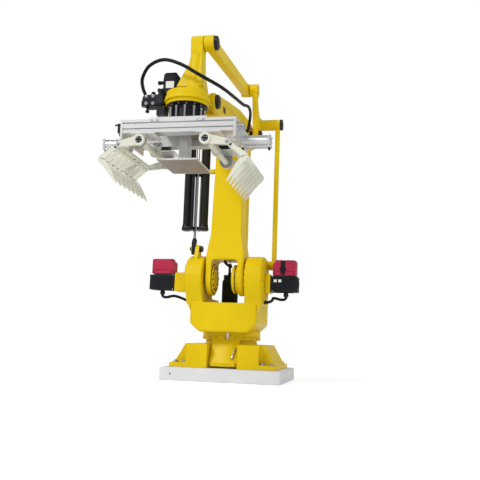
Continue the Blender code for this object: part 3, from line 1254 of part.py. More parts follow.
def main():
    start_scene()
    make_plinth()
    make_base()

    turret = body("turret_axis", (0, 0, BASE_TOP))
    carry(turret, make_yoke(), make_swing_motor())
    for side, word, length in ((-1, "left", GEAR_LEFT_LENGTH), (1, "right", GEAR_RIGHT_LENGTH)):
        carry(turret, *make_shoulder_drive(side, word, length),
              make_motor_cable(side, word, length))

    lower = body("lower_arm_axis", (0, *SHOULDER), turret)
    carry(lower, make_lower_arm())
    crank = body("crank_axis", (0, *SHOULDER), turret)
    carry(crank, make_crank())
    crank_pin = body("crank_pin_axis", (0, *CRANK_END), crank)
    carry(crank_pin, make_crank_pin())
    drive = body("drive_link_axis", (0, *CRANK_END), crank_pin)
    carry(drive, make_drive_link())
    rod = body("levelling_rod_axis", (0, *ROD_FOOT), turret)
    carry(rod, make_levelling_rod())
    balance_rod = body("balancer_rod_axis", (0, *LUG_PIN), turret)
    carry(balance_rod, make_balancer_rod())
    balance_tubes = body("balancer_tubes_axis", (0, *BALANCE_PIN), lower)
    carry(balance_tubes, make_balancer_tubes())

    level = body("elbow_bracket_axis", (0, *ELBOW), lower)
    elbow_shaft = make_headed_pin("elbow_shaft", -CHEEK_OUTER, BRACKET_HIGH_X, ELBOW,
                                  ELBOW_SHAFT_RADIUS, BEARING_RADIUS, CAP_THICK, ROUND_SIDES)
    join(elbow_shaft, x_bar("elbow_bearing", CHEEK_OUTER + GAP, BRACKET_LOW_X - GAP, ELBOW,
                            BEARING_RADIUS))
    carry(level, make_elbow_bracket(), elbow_shaft)
    upper = body("upper_arm_axis", (0, *ELBOW), level)
    carry(upper, make_upper_arm())
    top_link = body("top_link_axis", (0, *BRACKET_FRONT), level)
    carry(top_link, make_top_link())

    wrist = body("wrist_axis", (0, *WRIST), upper)
    carry(wrist, make_wrist_housing(), make_wrist_tower(), make_wrist_motor(),
          make_valve_block())
    make_hose()

    tool = body("tool_axis", (0, TOOL_Y, RING_LOW), wrist)
    carry(tool, make_tool_flange(), make_tool_plate(), make_rail("front_rail", -1),
          make_rail("rear_rail", 1), make_stop())
    for side, word in ((-1, "left"), (1, "right")):
        carry(tool, make_hanger(side, word), make_cylinder(side, word))
        jaw = body(word + "_jaw_axis", (side * JAW_X, TOOL_Y, JAW_Z), tool)
        carry(jaw, make_jaw(side, word), make_fingers(side, word))
        rod_body = body(word + "_rod_axis", (side * CYLINDER_START, CYLINDER_Y,
                                             horn_tip(side).y), tool)
        carry(rod_body, make_rod(side, word))


main()
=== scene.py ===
import json
import math

import bmesh
import bpy
from mathutils import Matrix, Vector


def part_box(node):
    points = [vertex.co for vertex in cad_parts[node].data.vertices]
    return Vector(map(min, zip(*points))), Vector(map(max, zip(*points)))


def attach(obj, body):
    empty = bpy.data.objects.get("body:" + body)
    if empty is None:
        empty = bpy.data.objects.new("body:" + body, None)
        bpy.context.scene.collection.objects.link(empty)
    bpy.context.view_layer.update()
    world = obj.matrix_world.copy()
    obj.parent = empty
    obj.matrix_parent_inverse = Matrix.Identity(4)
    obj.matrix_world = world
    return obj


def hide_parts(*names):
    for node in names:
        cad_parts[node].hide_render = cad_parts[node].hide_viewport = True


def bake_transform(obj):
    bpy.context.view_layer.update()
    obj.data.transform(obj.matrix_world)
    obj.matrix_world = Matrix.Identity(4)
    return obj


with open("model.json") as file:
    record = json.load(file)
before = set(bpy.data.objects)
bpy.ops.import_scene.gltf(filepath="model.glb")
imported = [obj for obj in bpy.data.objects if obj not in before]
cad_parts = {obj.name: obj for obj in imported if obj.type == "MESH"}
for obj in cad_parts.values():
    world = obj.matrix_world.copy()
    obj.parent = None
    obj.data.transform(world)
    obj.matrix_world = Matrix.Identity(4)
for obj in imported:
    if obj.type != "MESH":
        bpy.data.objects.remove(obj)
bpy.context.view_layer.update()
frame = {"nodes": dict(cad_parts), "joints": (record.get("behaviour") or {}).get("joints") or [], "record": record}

bl_info = {
    "name": "Palletising robot finish",
    "version": (1, 0, 0),
    "blender": (4, 5, 0),
    "location": "3D View > Sidebar > Robot",
    "description": "Adds finishes, fasteners, hoses and gripper detail to a palletising robot",
    "category": "Object",
}

MM = 0.001
NUDGE = 0.0004          # how far a fastener sits into the face it is fixed to
ROUND = 40              # sides of a turned piece
SMALL = 16              # sides of a fastener
SHARP, BELL_SMOOTH, SOFT = 35, 50, 60    # degrees between faces from which an edge is shown sharp
X, Y, Z = Vector((1, 0, 0)), Vector((0, 1, 0)), Vector((0, 0, 1))
ORIGIN = Vector((0, 0, 0))
SIDES = (-1, 1)
HANDS = ((-1, "left"), (1, "right"))

# The photograph's camera and lights
VIEW_FOCAL_SHARE = 678.6 / 480
SENSOR = 36
VIEW_PLACE = Vector((1.345, -6.221, 0.393))
VIEW_TURN, VIEW_PITCH, VIEW_ROLL = (math.radians(a) for a in (11.786, 8.106, 1.993))
VIEW_DEPTH = 60
LAMP_AIM = Vector((0, -0.6, 1.3))
# Each lamp: name, place, angle of its disc in degrees, strength
LAMPS = (("key", (-2.6, -4.6, 5.2), 18, 1.4),
         ("fill", (4.2, -3.6, 2.4), 40, 0.35),
         ("back", (0.8, 4.2, 3.6), 30, 0.5))
SKY_LIGHT, SKY_GLOSS_CUT = 0.66, 0.26
FLOOR_SIZE, FLOOR_ROUGHNESS, FLOOR_SPECULAR, FLOOR_LIFT = 30, 0.85, 0.1, 0.32

PIVOTS = {joint["name"]: Vector(joint["pos_m"]) for joint in frame["joints"]
          if joint.get("pos_m")}

YELLOW, BLACK, CAST = "sprayed_yellow_enamel", "oxided_black_steel", "die_cast_black_enamel"
ZINC, BRIGHT, SATIN = "zinc_plated_steel", "turned_bright_steel", "anodised_aluminium"
IVORY, RUBBER, RED = "powder_coated_ivory", "extruded_black_rubber", "moulded_red_nylon"
BLASTED_IN_SHADE, LABEL = "blasted_plate", "plain_white_label"

# Each finish: sRGB colour, second colour, patch size mm, roughness low and high,
# metallic, grit size mm, bump height mm, rounding of edges mm
FINISHES = {
    # Two-pack machine enamel sprayed on castings: even, semi-gloss, faint orange peel
    YELLOW: ("#E6CA0A", "#D8B608", 240, 0.3, 0.46, 0.0, 5.0, 0.10, 9.0),
    # Floor paint on a fabricated plinth: flat, slightly scuffed
    "rolled_grey_floor_paint": ("#E0E0E2", "#CFD0D3", 130, 0.5, 0.7, 0.0, 9.0, 0.15, 3.0),
    # Black enamel on a die-cast motor: matt with a fine cast grain
    CAST: ("#24272A", "#1A1C1F", 60, 0.4, 0.58, 0.0, 2.2, 0.12, 2.0),
    # Moulded red nylon: soft gloss, even colour
    RED: ("#BA3450", "#A72C46", 90, 0.3, 0.42, 0.0, 1.6, 0.05, 2.0),
    # Hard chrome and turned steel: bright, with faint turning marks
    BRIGHT: ("#D2D3D6", "#BFC1C5", 30, 0.14, 0.3, 1.0, 2.0, 0.02, 0.6),
    # Black-oxided steel: dark, oily sheen
    BLACK: ("#1B1C1F", "#121316", 45, 0.28, 0.44, 0.3, 3.0, 0.05, 1.2),
    # Clear anodised extrusion: satin silver
    SATIN: ("#E2E2E2", "#D6D6D7", 80, 0.28, 0.4, 0.6, 1.5, 0.03, 0.8),
    # Milled aluminium plate, dulled by handling
    "milled_aluminium_plate": ("#8D837B", "#7E756D", 70, 0.36, 0.52, 0.5, 2.5, 0.04, 0.8),
    # Bent plate, bead blasted: even mid grey without a mirror, darkened as painted shade for the hangers under the
    # rails
    BLASTED_IN_SHADE: ("#A9AAA6", "#999A96", 50, 0.46, 0.6, 0.5, 1.6, 0.05, 0.8),
    # Ivory powder coat on cut steel
    IVORY: ("#DEDECF", "#D0D0BF", 60, 0.38, 0.52, 0.0, 1.8, 0.08, 1.0),
    # Chloroprene jacket of hoses and cables: dull black
    RUBBER: ("#17181A", "#202123", 35, 0.42, 0.6, 0.0, 2.5, 0.06, 0.0),
    # Zinc-plated fasteners: pale, slightly blue
    ZINC: ("#C3C7CC", "#A9ADB3", 12, 0.26, 0.42, 0.9, 1.0, 0.02, 0.3),
    # Bare self-adhesive label with nothing on it
    LABEL: ("#ECECEA", "#E2E2DF", 40, 0.35, 0.45, 0.0, 1.5, 0.02, 0.0),
}
PAINT_SPECULAR = 0.14
PATCH_DETAIL, PATCH_ROUGHNESS, GRIT_DETAIL, BUMP_STRENGTH = 3.0, 0.6, 2.0, 0.25

SLOTS = {
    "yellow_paint": YELLOW, "plinth_paint": "rolled_grey_floor_paint", "motor_black": CAST,
    "red_plastic": RED, "bright_steel": BRIGHT, "black_steel": BLACK, "rail_aluminium": SATIN,
    "plate_aluminium": "milled_aluminium_plate", "ivory_paint": IVORY, "cable_rubber": RUBBER,
}
SLOT_OF = {coat: slot for slot, coat in SLOTS.items()}
SLOT_OF.update({ZINC: "bright_steel", LABEL: "ivory_paint", BLASTED_IN_SHADE: "plate_aluminium"})
# The hangers take the plate grey that is darkened as painted shade
OWN_COATS = {"left_hanger": BLASTED_IN_SHADE, "right_hanger": BLASTED_IN_SHADE, "tool_plate": SATIN}

# Turned solids: number of sides, then (radius, distance along the axis) in mm
PROFILES = {
    "turntable_seal": (72, (265.5, 0), (267.2, 3), (267.2, 9), (265.5, 12)),
    "index_pin": (28, (14, -2), (14, 8), (11.5, 10), (11.5, 66), (9, 70)),
    "plinth_plug": (SMALL, (7.5, -2), (7.5, 1), (4.5, 1.4), (0, 1.4)),
    "base_socket": (ROUND, (26, -20), (26, 20), (22, 24), (17, 24), (16, 14), (0, 14)),
    "ear_ring": (64, (188, -2), (188, 7), (184, 10), (165.2, 10)),
    "motor_tail": (ROUND, (45, -4), (45, 3), (41, 5), (20, 5), (18, 3), (0, 3)),
    "encoder_dial": (ROUND, (28, -3), (28, 4), (24, 8), (15, 8), (14, 4), (0, 4)),
    "encoder_stud": (SMALL, (9, -3), (9, 6), (6, 9), (0, 9)),
    "encoder_screw": (12, (6, -3), (6, 2), (0, 2)),
    "cable_plug": (ROUND, (24, -6), (24, 6), (19.5, 8), (19.5, 16), (23, 18), (23, 34),
                   (18, 40), (13.5, 44)),
    "cable_gland": (ROUND, (20, -2), (20, 8), (16.5, 11), (16.5, 20), (13.5, 24)),
    "riser_plug": (ROUND, (16, -4), (16, 12), (12, 16), (12, 28), (0, 30)),
    "left_hub_disc": (56, (130, -2), (130, 9), (126, 12), (75, 12), (72, 18), (45, 18),
                      (43, 12), (0, 12)),
    "left_hub_seal": (56, (134.5, -2), (134.5, 4), (130.5, 5)),
    "crank_hub_disc": (56, (118, -2), (118, 6), (114, 9), (70, 9), (67, 15), (40, 15),
                       (38, 9), (0, 9)),
    "crank_rim_seal": (56, (128.5, -5), (129.2, -4), (129.2, 4), (128.5, 5)),
    "arm_plug": (20, (9, -2), (9, 1.2), (4, 1.2), (3, 0)),
    "balancer_collar": (48, (30, -6), (41.5, -2), (42.5, 4), (42.5, 30), (40.5, 34),
                        (40.5, 52), (37.5, 55)),
    "rod_end_nut": (ROUND, (23, -2), (23, 16), (18, 20), (18, 30), (13.5, 34)),
    "lug_nut": (28, (31, -1), (31, 6), (27, 8), (27, 24), (23, 28), (0, 28)),
    "rod_pin_knob": (24, (20, -4), (20, 8), (16, 12), (16, 18), (0, 20)),
    "wrist_under_ring": (64, (147, -2), (147, 4), (143, 7), (107.5, 7)),
    "wrist_ring_lip": (72, (150, 0), (163.5, 1), (165.5, 4), (165.5, 14), (163.5, 18),
                       (154, 21)),
    "wrist_bell": (56, (106, -2), (106, 4), (98, 9), (83, 28), (71, 60), (61, 105),
                   (54, 160), (47, 240), (40, 300)),
    "flange_foot": (56, (118, -0.4), (118, 12), (114, 15), (105.2, 15)),
    "flange_head": (56, (105.2, 0), (112, 3), (112, 24), (105.2, 27)),
    "flange_sleeve": (56, (108.5, 0), (108.5, 85), (104.5, 85.5)),
    "tool_pillar": (12, (10.5, -2), (10.5, 12), (7.5, 14), (7.5, 78), (10.5, 80), (10.5, 98)),
    "motor_plug": (ROUND, (15, -4), (15, 12), (12.5, 14), (12.5, 30), (15, 32), (15, 46),
                   (9, 50), (0, 50)),
    "side_union": (8, (36, -4), (36, 6), (30, 8.5), (0, 8.5)),
    "top_union": (ROUND, (24, -4), (24, 12), (20, 14), (20, 30), (23, 32), (23, 42), (0, 45)),
    "hose_union": (28, (23, -12), (26, -8), (26, 30), (21, 34), (21, 52), (17.5, 55),
                   (17.5, 66), (13.5, 70)),
    "inner_union": (28, (19, -4), (19, 12), (15.5, 15), (15.5, 32), (0, 36)),
    "drain_union": (20, (12, -4), (12, 8), (8, 10), (8, 22), (14, 25), (14, 38), (9, 42),
                    (0, 42)),
    "connector_stud": (6, (8, -3), (8, 10), (5, 12), (5, 20), (0, 20)),
    "hose_gland": (28, (21, -2), (21, 8), (17.5, 11), (17.5, 22), (13.5, 26)),
    "jaw_hub": (ROUND, (23.5, -10), (40, -10), (40, 6), (37.5, 8.5), (26, 8.5), (23.5, 7),
                (23.5, -9.9)),
    # A black disc in the hub's recess, as painted shade inside it
    "jaw_bearing": (ROUND, (23.8, -2), (23.8, 2), (0, 2)),
    "cylinder_end": (ROUND, (32, -2), (32, 3), (28, 5), (0, 5)),
    "cylinder_tie": (12, (4, -2), (4, 167)),
    "port_stub": (20, (9, -3), (9, 7), (7.5, 9), (7.5, 17), (0, 18)),
    "port_elbow": (SMALL, (6.5, 0), (6.5, 18), (5, 20), (0, 20)),
    "rail_end_fitting": (6, (17, -2), (17, 10), (12, 12), (12, 30), (16, 32), (16, 44),
                         (9, 48), (0, 48)),
}

# Width of the rounded edges of a piece, in mm; left and right pieces share one entry
EDGES = {
    "index_lug": 6, "base_front_plate": 3, "yoke_gussets": 6, "motor_ribs": 1.2,
    "motor_flange": 4, "encoder_trims": 0.8, "encoder_lid": 1.5, "swing_motor_ribs": 1,
    "rod_clevis_cover": 5, "wrist_motor_label": 0.4, "connector_unions": 1, "tines": 1.5,
    "tine_strip": 2, "bearing_legs": 1.2, "bearing_caps": 1.2, "rail_blocks": 1.5,
    "rail_profile": 0.8, "rail_plates": 1, "post_casing": 3, "stop_plate_edges": 0.6,
    "rail_end_plate": 2,
}
EDGE_STEPS, EDGE_ANGLE = 2, 40

# Rods along Z: sides, then (radius, mm past the low end), then (radius, mm past the high end)
RODS = {
    "tie_rod": (SMALL, ((7.5, 0), (7.5, 8), (5, 10)), ((5, 0), (0, 1))),
    "slim_tube": (24, ((16.5, 0), (16.5, 30), (13.5, 34)), ((13.5, -30), (16.5, -26), (16.5, 0))),
}

# Circles of fasteners: radius mm, how many, angle of the first in radians
CIRCLES = {
    "turntable": (262, 20, 0), "gear_outer": (149, 14, 0.2), "gear_inner": (186, 18, 0),
    "left_hub": (103, 12, 0.1), "crank_hub": (94, 12, 0), "link_eye": (36, 6, 0),
    "elbow_eye": (61, 8, 0.3), "elbow_side": (82, 10, 0), "balancer_cap": (27, 6, 0),
    "wrist_under": (128, 14, 0), "wrist_top": (138, 16, 0.1), "tool_flange": (125, 8, 0.2),
    "pillars": (121.5, 12, 0.15), "jaw_hub": (14.5, 4, 0.6),
}

# Blocks on a box. Along X, Y and Z: the two faces in mm from the box's low corner, or each
# face as a share of the box and mm past it
LOW, MID, HIGH = 0, 0.5, 1
BLOCKS = {
    "index_lug": ((-4, 56), (-302, -250), (432, 482)),
    "base_front_plate": ((-110, 110), (-347.5, -338), (130, 166)),
    "motor_flange": ((0, 14), (LOW, -4, HIGH, 4), (LOW, -4, HIGH, -0.4)),
    "inner_label": ((30, 56), (-5.8, -4.2), (MID, 12, MID, 36)),
    "outer_label": ((70, 96), (-5.8, -4.2), (MID, 12, MID, 36)),
    "encoder_strip": ((MID, -31, MID, 7), (-3.5, 2), (LOW, 8, HIGH, -6)),
    "encoder_front_seam": ((LOW, 12, HIGH, -12), (-1.2, 2), (36, 39)),
    "encoder_rear_seam": ((LOW, 12, HIGH, -12), (HIGH, -2, HIGH, 1.2), (36, 39)),
    "encoder_lid": ((LOW, 18, HIGH, -18), (LOW, 14, HIGH, -14), (HIGH, -1, HIGH, 3.5)),
    "rod_clevis_cover": ((-4, 35.5), (LOW, -2, HIGH, 2), (-2, 117)),
    "wrist_motor_label": ((LOW, 22, HIGH, -22), (-0.8, 1), (50, 100)),
    "wrist_motor_lid": ((LOW, 12, HIGH, -12), (LOW, 12, HIGH, -12), (HIGH, -4, HIGH, 4.5)),
    "connector_arm": ((HIGH, -53.7, HIGH, 8.3), (MID, -45, MID, 45), (-69.99, 2)),
    "connector_strip": ((MID, 12, HIGH, -8), (-4, 2), (LOW, 12, HIGH, -12)),
    # Rims on the stop plate's four edges, in a bright finish as a painted highlight along them
    "stop_front_edge": ((LOW, -1, HIGH, 1), (-2.2, 2), (-0.4, 10.5)),
    "stop_rear_edge": ((LOW, -1, HIGH, 1), (HIGH, -2, HIGH, 2.2), (-0.4, 10.5)),
    "stop_left_edge": ((-2.2, 2), (LOW, 2, HIGH, -2), (-0.4, 10.5)),
    "stop_right_edge": ((HIGH, -2, HIGH, 2.2), (LOW, 2, HIGH, -2), (-0.4, 10.5)),
    # A black sheet just inside the arm's window: painted shade in the opening
    "arm_window": ((-4, 4), (-50, 50), (-32, 32)),
    "bearing_cap": ((-68, 98), (132, 309), (47.5, 54.5)),
    "rail_block": ((-50, 50), (134, 219.5), (54, 83)),
    "post_casing": ((-30, 30), (-57.5, 57.5), (1565.5, 1789.5)),
    "front_rail_plate": ((-30, 30), (-4.2, 0), (-20, 1)),
    "rear_rail_plate": ((-30, 30), (-0.2, 4), (-20, 1)),
    "end_plate": ((-424.5, -405.2), (-222, -150), (1748, 1814)),
    "end_foot": ((-413.5, -390), (-218, -160), (1726, 1748.5)),
}

# Lines through (x, y, z) in mm
ROUTES = {
    "base_handle": ((99, -262, 288), (99, -292, 286), (95, -306, 268), (82, -334, 212),
                    (76, -334, 196), (76, -305, 190)),
    "dress_hose": ((-340, -1785, 2215), (-280, -1820, 2290), (-165, -1850, 2318),
                   (-30, -1870, 2270), (110, -1850, 2190), (235, -1740, 2140),
                   (280, -1500, 2150), (285, -1200, 2200), (275, -950, 2270),
                   (255, -750, 2290), (225, -620, 2250), (200.5, -570, 2190),
                   (188, -560, 2180), (168.3, -560, 2180)),
    "hose_start": ((0, 0, 0), (0, 0, 29), (-18.5, -10, 79)),
    "cable_start": ((0, 0, -1), (0, 0, -50), (-35, 0, -66.5), (-110, 10, -52.5)),
    "cable_end": ((69.5, -5, 15.3), (32.5, 0, 0), (0, 0, 0)),
    "riser_start": ((0, 0, 0), (0, 0, 30), (12, -50, 75)),
    "riser_end": ((12, -200, 1020), (-18, -285, 1045), (-20, -300, 1075)),
    "end_lever": ((-410, -192, 1806), (-435, -192, 1812), (-455, -192, 1809)),
}

# Details of the base, in metres: (z, y) down the front web and (x, swell) across it
FOOT_X, FOOT_Y, FOOT_RISE = (0.352, 0.43), 0.33, 0.0393
HANDLE_RADIUS, PLUG_INSET = 0.0075, 0.1
WEB_ROWS = ((0.374, -0.246), (0.352, -0.2545), (0.3, -0.276), (0.24, -0.303), (0.2, -0.322),
            (0.172, -0.337), (0.15, -0.341))
WEB_COLUMNS = ((-0.128, 0.012), (-0.1, 0.002), (-0.05, -0.004), (0.0, -0.009), (0.04, -0.011),
               (0.07, -0.004), (0.1, 0.0), (0.128, 0.008))
WEB_DEPTH = 0.03
SOCKET_X, SOCKET_Y, SOCKET_Z = (-0.09, 0.0, 0.09), 0.335, 0.14

# Faces across X that details sit on, and the corners of the yoke's gussets in (x, z)
GEAR_FACE, YOKE_FACE, YOKE_INNER = 0.354, 0.34, 0.19
HUB_FACE, HUB_SCREW_FACE = -0.121, -0.109
CRANK_FACE, CRANK_SCREW_FACE, CRANK_RIM = 0.068, 0.059, 0.0915
ARM_FACE, BRACKET_FACE, WRIST_FACE, TOWER_FACE = 0.168, 0.252, 0.1883, 0.1923
ELBOW_FACE, REAR_EYE_FACE, LUG_FACE = 0.2723, 0.4483, -0.2503
LINK_COVER, ELBOW_COVER = 0.0512, 0.0532
ROD_EYE_ROOM = 0.065
WINDOW_FACE, WINDOW_SHARE = 0.161, 0.8
PLUG_REACH, PLUG_RISE = (0.7, 0.8), 0.045
# Screws as shares of those of the large flanges
EYE_SHARES, TINY_SHARE, SMALLER_SHARE = (0.55, 0.5), 0.6, 0.8
GUSSET = ((0.339, 0.8), (0.339, 0.7), (0.331, 0.672), (0.2985, 0.61), (0.2985, 0.8))
GUSSET_Y = (-0.398, -0.315)

# Motors, in metres: half width, sunk depth and rise of a rib, and where the ribs are
RIB_HALF, RIB_SUNK, RIB_RISE, RIB_FRONT, RIB_BACK = 0.0035, 0.001, 0.0045, 0.03, 0.045
SWING_SUNK, SWING_RISE, SWING_HEAD = 0.002, 0.0055, 0.07
WRIST_RIB_HALF, WRIST_RIB_RISE = 0.003, 0.004
MOTOR_RIBS = (-0.045, -0.027, -0.009, 0.009, 0.027, 0.045)
SWING_RIBS, WRIST_RIBS = (-0.04, -0.02, 0.0, 0.02, 0.04), (-0.03, -0.015, 0.0, 0.015, 0.03)
SWING_HALF, CABLE_LANDING = 0.064, 0.3405
PLUG_OUT, LANDING_STEP = 131, (0, 20, -90.3)    # mm from the motor's front and its plug

# The balancer, the wrist's flange and its connectors, in metres
TUBE_OUT, TUBE_CAP, TIE_X, TIE_Y, TIE_FOOT = 0.08, 0.002, 0.024, (0.0475, -0.0475), 0.004
FLANGE_LEVELS = (1.8553, 1.8703, 1.955)
TOWER_FRONT, MOTOR_FRONT, MOTOR_RIGHT = 0.072, 0.027, -0.07
HOSE_START_X, HOSE_START_Z, HOSE_END = -0.3185, 2.066, (0.168, -0.56, 2.18)

# A jaw finger: its line in (outward, upward) metres from the jaw's shaft, and its widths
BAR_END, HEEL, TIP = Vector((0.147, -0.025)), Vector((0.262, -0.112)), Vector((0.15, -0.285))
TINE_LINE = (BAR_END, BAR_END.lerp(HEEL, 0.45), BAR_END.lerp(HEEL, 0.82),
             HEEL + Vector((0.004, -0.012)), HEEL.lerp(TIP, 0.28) + Vector((0.003, 0.0)),
             HEEL.lerp(TIP, 0.62), TIP)
TINE_WIDTHS = (0.028, 0.031, 0.037, 0.043, 0.036, 0.026, 0.008)

# The gripper, in metres: fingers, jaw ends, rails and the plates between them
COMB_HALF, JAW_END = 0.3107, 0.325
STRIP_TILT, STRIP_OUT, STRIP_WAY = 37, 0.028, (0.797, -0.604)
STRIP_THIN, STRIP_WIDE, HUB_STEP = 0.008, 0.011, 0.002
RAIL_HEIGHT, RAIL_MOUTH, RAIL_LIP, RAIL_GROOVE, RAIL_WIDE = 0.095, 0.0042, 0.0025, 0.0125, 0.0075
SIDE_GROOVE_SHARES, UNDER_GROOVE_SHARES = (0.27, 0.7), (0.28, 0.72)
LEG_ROOM, LEG_FOOT, LEG_TOP, LEG_HALF = 0.0205, 0.042, 0.048, 0.046
LEG_OUTER, LEG_INNER = 0.3088, 0.291
CYLINDER_Y, CYLINDER_RISE, CYLINDER_INNER = -1.76, 0.062, 0.402
TIE_OUT, TIE_INSET, PORT_DROP, PORT_INSET = 0.0345, 0.02, 0.043, 0.01
RAIL_PLATE_X, RAIL_BOLT_X = (-0.16, 0.16), (-0.33, -0.26, 0.26, 0.33)
LEVER_RADIUS = 0.0062
PLATE_BOLT_X, PLATE_BOLT_Y, PLATE_TOP = (-0.18, -0.06, 0.06, 0.18), 0.175, 1.855


def linear(hex_colour):
    """An sRGB hex colour as the linear values that a shader takes."""
    parts = [int(hex_colour[i:i + 2], 16) / 255 for i in (1, 3, 5)]
    return [c / 12.92 if c <= 0.04045 else ((c + 0.055) / 1.055) ** 2.4 for c in parts]


def node(tree, kind, links=None, **settings):
    """Adds a node, sets its fields and sockets, and links other nodes' outputs to it."""
    made = tree.nodes.new(kind)
    for name, value in settings.items():
        if hasattr(made, name):
            setattr(made, name, value)
        else:
            made.inputs[name.replace("_", " ").title()].default_value = value
    for socket, source in (links or {}).items():
        tree.links.new(source, made.inputs[socket])
    return made


def finish(name):
    """The node-based material of one finish, made once."""
    found = bpy.data.materials.get(name)
    if found:
        return found
    base, second, patch, smooth, rough, metallic, grit, height, edge = FINISHES[name]
    made = bpy.data.materials.new(name)
    made.use_nodes = True
    tree = made.node_tree
    shader = tree.nodes["Principled BSDF"]
    shader.inputs["Metallic"].default_value = metallic
    if not metallic:
        shader.inputs["Specular IOR Level"].default_value = PAINT_SPECULAR
    place = node(tree, "ShaderNodeTexCoord").outputs["Object"]
    patches = node(tree, "ShaderNodeTexNoise", {"Vector": place}, Scale=1 / (patch * MM),
                   Detail=PATCH_DETAIL, Roughness=PATCH_ROUGHNESS)
    blend = node(tree, "ShaderNodeMix", {"Factor": patches.outputs["Fac"]}, data_type="RGBA")
    blend.inputs[6].default_value = (*linear(base), 1)
    blend.inputs[7].default_value = (*linear(second), 1)
    tree.links.new(blend.outputs[2], shader.inputs["Base Color"])
    spread = node(tree, "ShaderNodeMapRange", {"Value": patches.outputs["Fac"]})
    spread.inputs["To Min"].default_value = smooth
    spread.inputs["To Max"].default_value = rough
    tree.links.new(spread.outputs["Result"], shader.inputs["Roughness"])
    grain = node(tree, "ShaderNodeTexNoise", {"Vector": place}, Scale=1 / (grit * MM),
                 Detail=GRIT_DETAIL)
    bump = node(tree, "ShaderNodeBump", {"Height": grain.outputs["Fac"]},
                Strength=BUMP_STRENGTH, Distance=height * MM)
    if edge:
        rounding = node(tree, "ShaderNodeBevel", samples=4, Radius=edge * MM)
        tree.links.new(rounding.outputs["Normal"], bump.inputs["Normal"])
    tree.links.new(bump.outputs["Normal"], shader.inputs["Normal"])
    return made


def entry(table, name, missing=None):
    """A piece's entry in a table, under its whole name or the name without its first word."""
    return table.get(name) or table.get(name.partition("_")[2], missing)


def piece(name, target, body, coat, smooth=SHARP, replaced=()):
    """A finished object from mesh data, riding on a body of the frame."""
    mesh = bpy.data.meshes.new(name)
    bmesh.ops.recalc_face_normals(target, faces=target.faces)
    target.to_mesh(mesh)
    target.free()
    made = bpy.data.objects.new(name, mesh)
    bpy.context.scene.collection.objects.link(made)
    mesh.materials.append(finish(coat))
    mesh.shade_smooth()
    mesh.set_sharp_from_angle(angle=math.radians(smooth))
    width = entry(EDGES, name, 0)
    if width:
        rounding = made.modifiers.new("edges", "BEVEL")
        rounding.width = width * MM
        rounding.segments = EDGE_STEPS
        rounding.limit_method = "ANGLE"
        rounding.angle_limit = math.radians(EDGE_ANGLE)
    if replaced:
        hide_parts(*replaced)
    if body:
        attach(made, body)
    return made


def corners(name):
    """The low and high corner of a CAD piece."""
    return [Vector(corner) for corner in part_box(name)]


def outward(name, side):
    """The corners of a CAD piece, with X running outward on a side."""
    low, high = corners(name)
    if side < 0:
        low.x, high.x = high.x, low.x
    return low, high


def at(place, *offset):
    """A place moved by an offset in mm."""
    return Vector(place) + MM * Vector(offset)


def beside(pivot, x):
    """The place at x on a pivot's axis, which runs along X."""
    return Vector((x, pivot.y, pivot.z))


def facing(direction):
    """A turn that takes +Z to a direction."""
    return Vector(direction).to_track_quat("Z", "Y").to_matrix().to_4x4()


def around(radius, count, start=0.0):
    """Places evenly spaced on a circle in the XY plane."""
    return [Vector((radius * math.cos(a), radius * math.sin(a), 0))
            for a in (start + 2 * math.pi * i / count for i in range(count))]


def bridge(target, near, far):
    """Joins two equal loops of corners with faces."""
    for i in range(len(near)):
        j = (i + 1) % len(near)
        target.faces.new((near[i], near[j], far[j], far[i]))


def prism(target, outlines, capped=True):
    """Adds the solid between two equal outlines and returns their corners."""
    near, far = ([target.verts.new(place) for place in line] for line in outlines)
    bridge(target, near, far)
    if capped:
        target.faces.new(near)
        target.faces.new(far)
    return near, far


def lathe(target, centre, direction, profile, sides):
    """Adds a closed turned solid: profile is (radius, distance along the direction)."""
    place = Matrix.Translation(Vector(centre)) @ facing(direction)
    rings = [[target.verts.new(place @ (spot + Z * along))
              for spot in (around(radius, sides) if radius > 0 else [ORIGIN])]
             for radius, along in profile]
    for low, high in zip(rings, rings[1:]):
        for i in range(sides):
            j = (i + 1) % sides
            quad = [low[i % len(low)], low[j % len(low)], high[j % len(high)], high[i % len(high)]]
            unique = list(dict.fromkeys(quad))
            if len(unique) > 2:
                target.faces.new(unique)
    for ring in (rings[0], rings[-1]):
        if len(ring) > 1:
            target.faces.new(ring)


def turned(target, name, centre, direction):
    """Adds the turned solid of a named profile."""
    sides, *profile = entry(PROFILES, name)
    lathe(target, centre, direction, [(r * MM, along * MM) for r, along in profile], sides)


def spanned(target, name, foot, height):
    """Adds a named rod that stands on a foot and reaches up to a height."""
    sides, near, far = RODS[name]
    lathe(target, foot, Z, [*((r * MM, up * MM) for r, up in near),
                            *((r * MM, height + up * MM) for r, up in far)], sides)


def turned_piece(name, body, coat, centre, direction, smooth=SHARP):
    """A piece that is the turned solid of its own name."""
    target = bmesh.new()
    turned(target, name, centre, direction)
    return piece(name, target, body, coat, smooth=smooth)


# Fasteners: (radius, distance along the axis) as shares of the radius of the head
WASHER_SHARES = ((1.5, 0.22), (1.1, 0.26))
SOCKET_SHARES = ((1, 0.9), (0.88, 1.05), (0.5, 1.05), (0.46, 0.45), (0, 0.4))
HEAD_HEIGHT_SHARE, HEAD_FLANK_SHARE, HEAD_TOP_SHARE = 0.8, 0.85, 0.86
# Radius of the heads that don't follow the panel's sizes, in metres
HEADS = {
    "balancer_cap": 0.004, "motor_tail": 0.0045, "jaw_hub": 0.0048, "rail_plate": 0.005,
    "cylinder": 0.0055, "hanger": 0.0055, "tine_strip": 0.006, "motor_front": 0.0065,
    "wrist_top": 0.0065, "wrist_under": 0.0075, "tool_flange": 0.008, "connector": 0.008,
    "rail": 0.008, "plate": 0.009, "jaw_bar": 0.009,
}


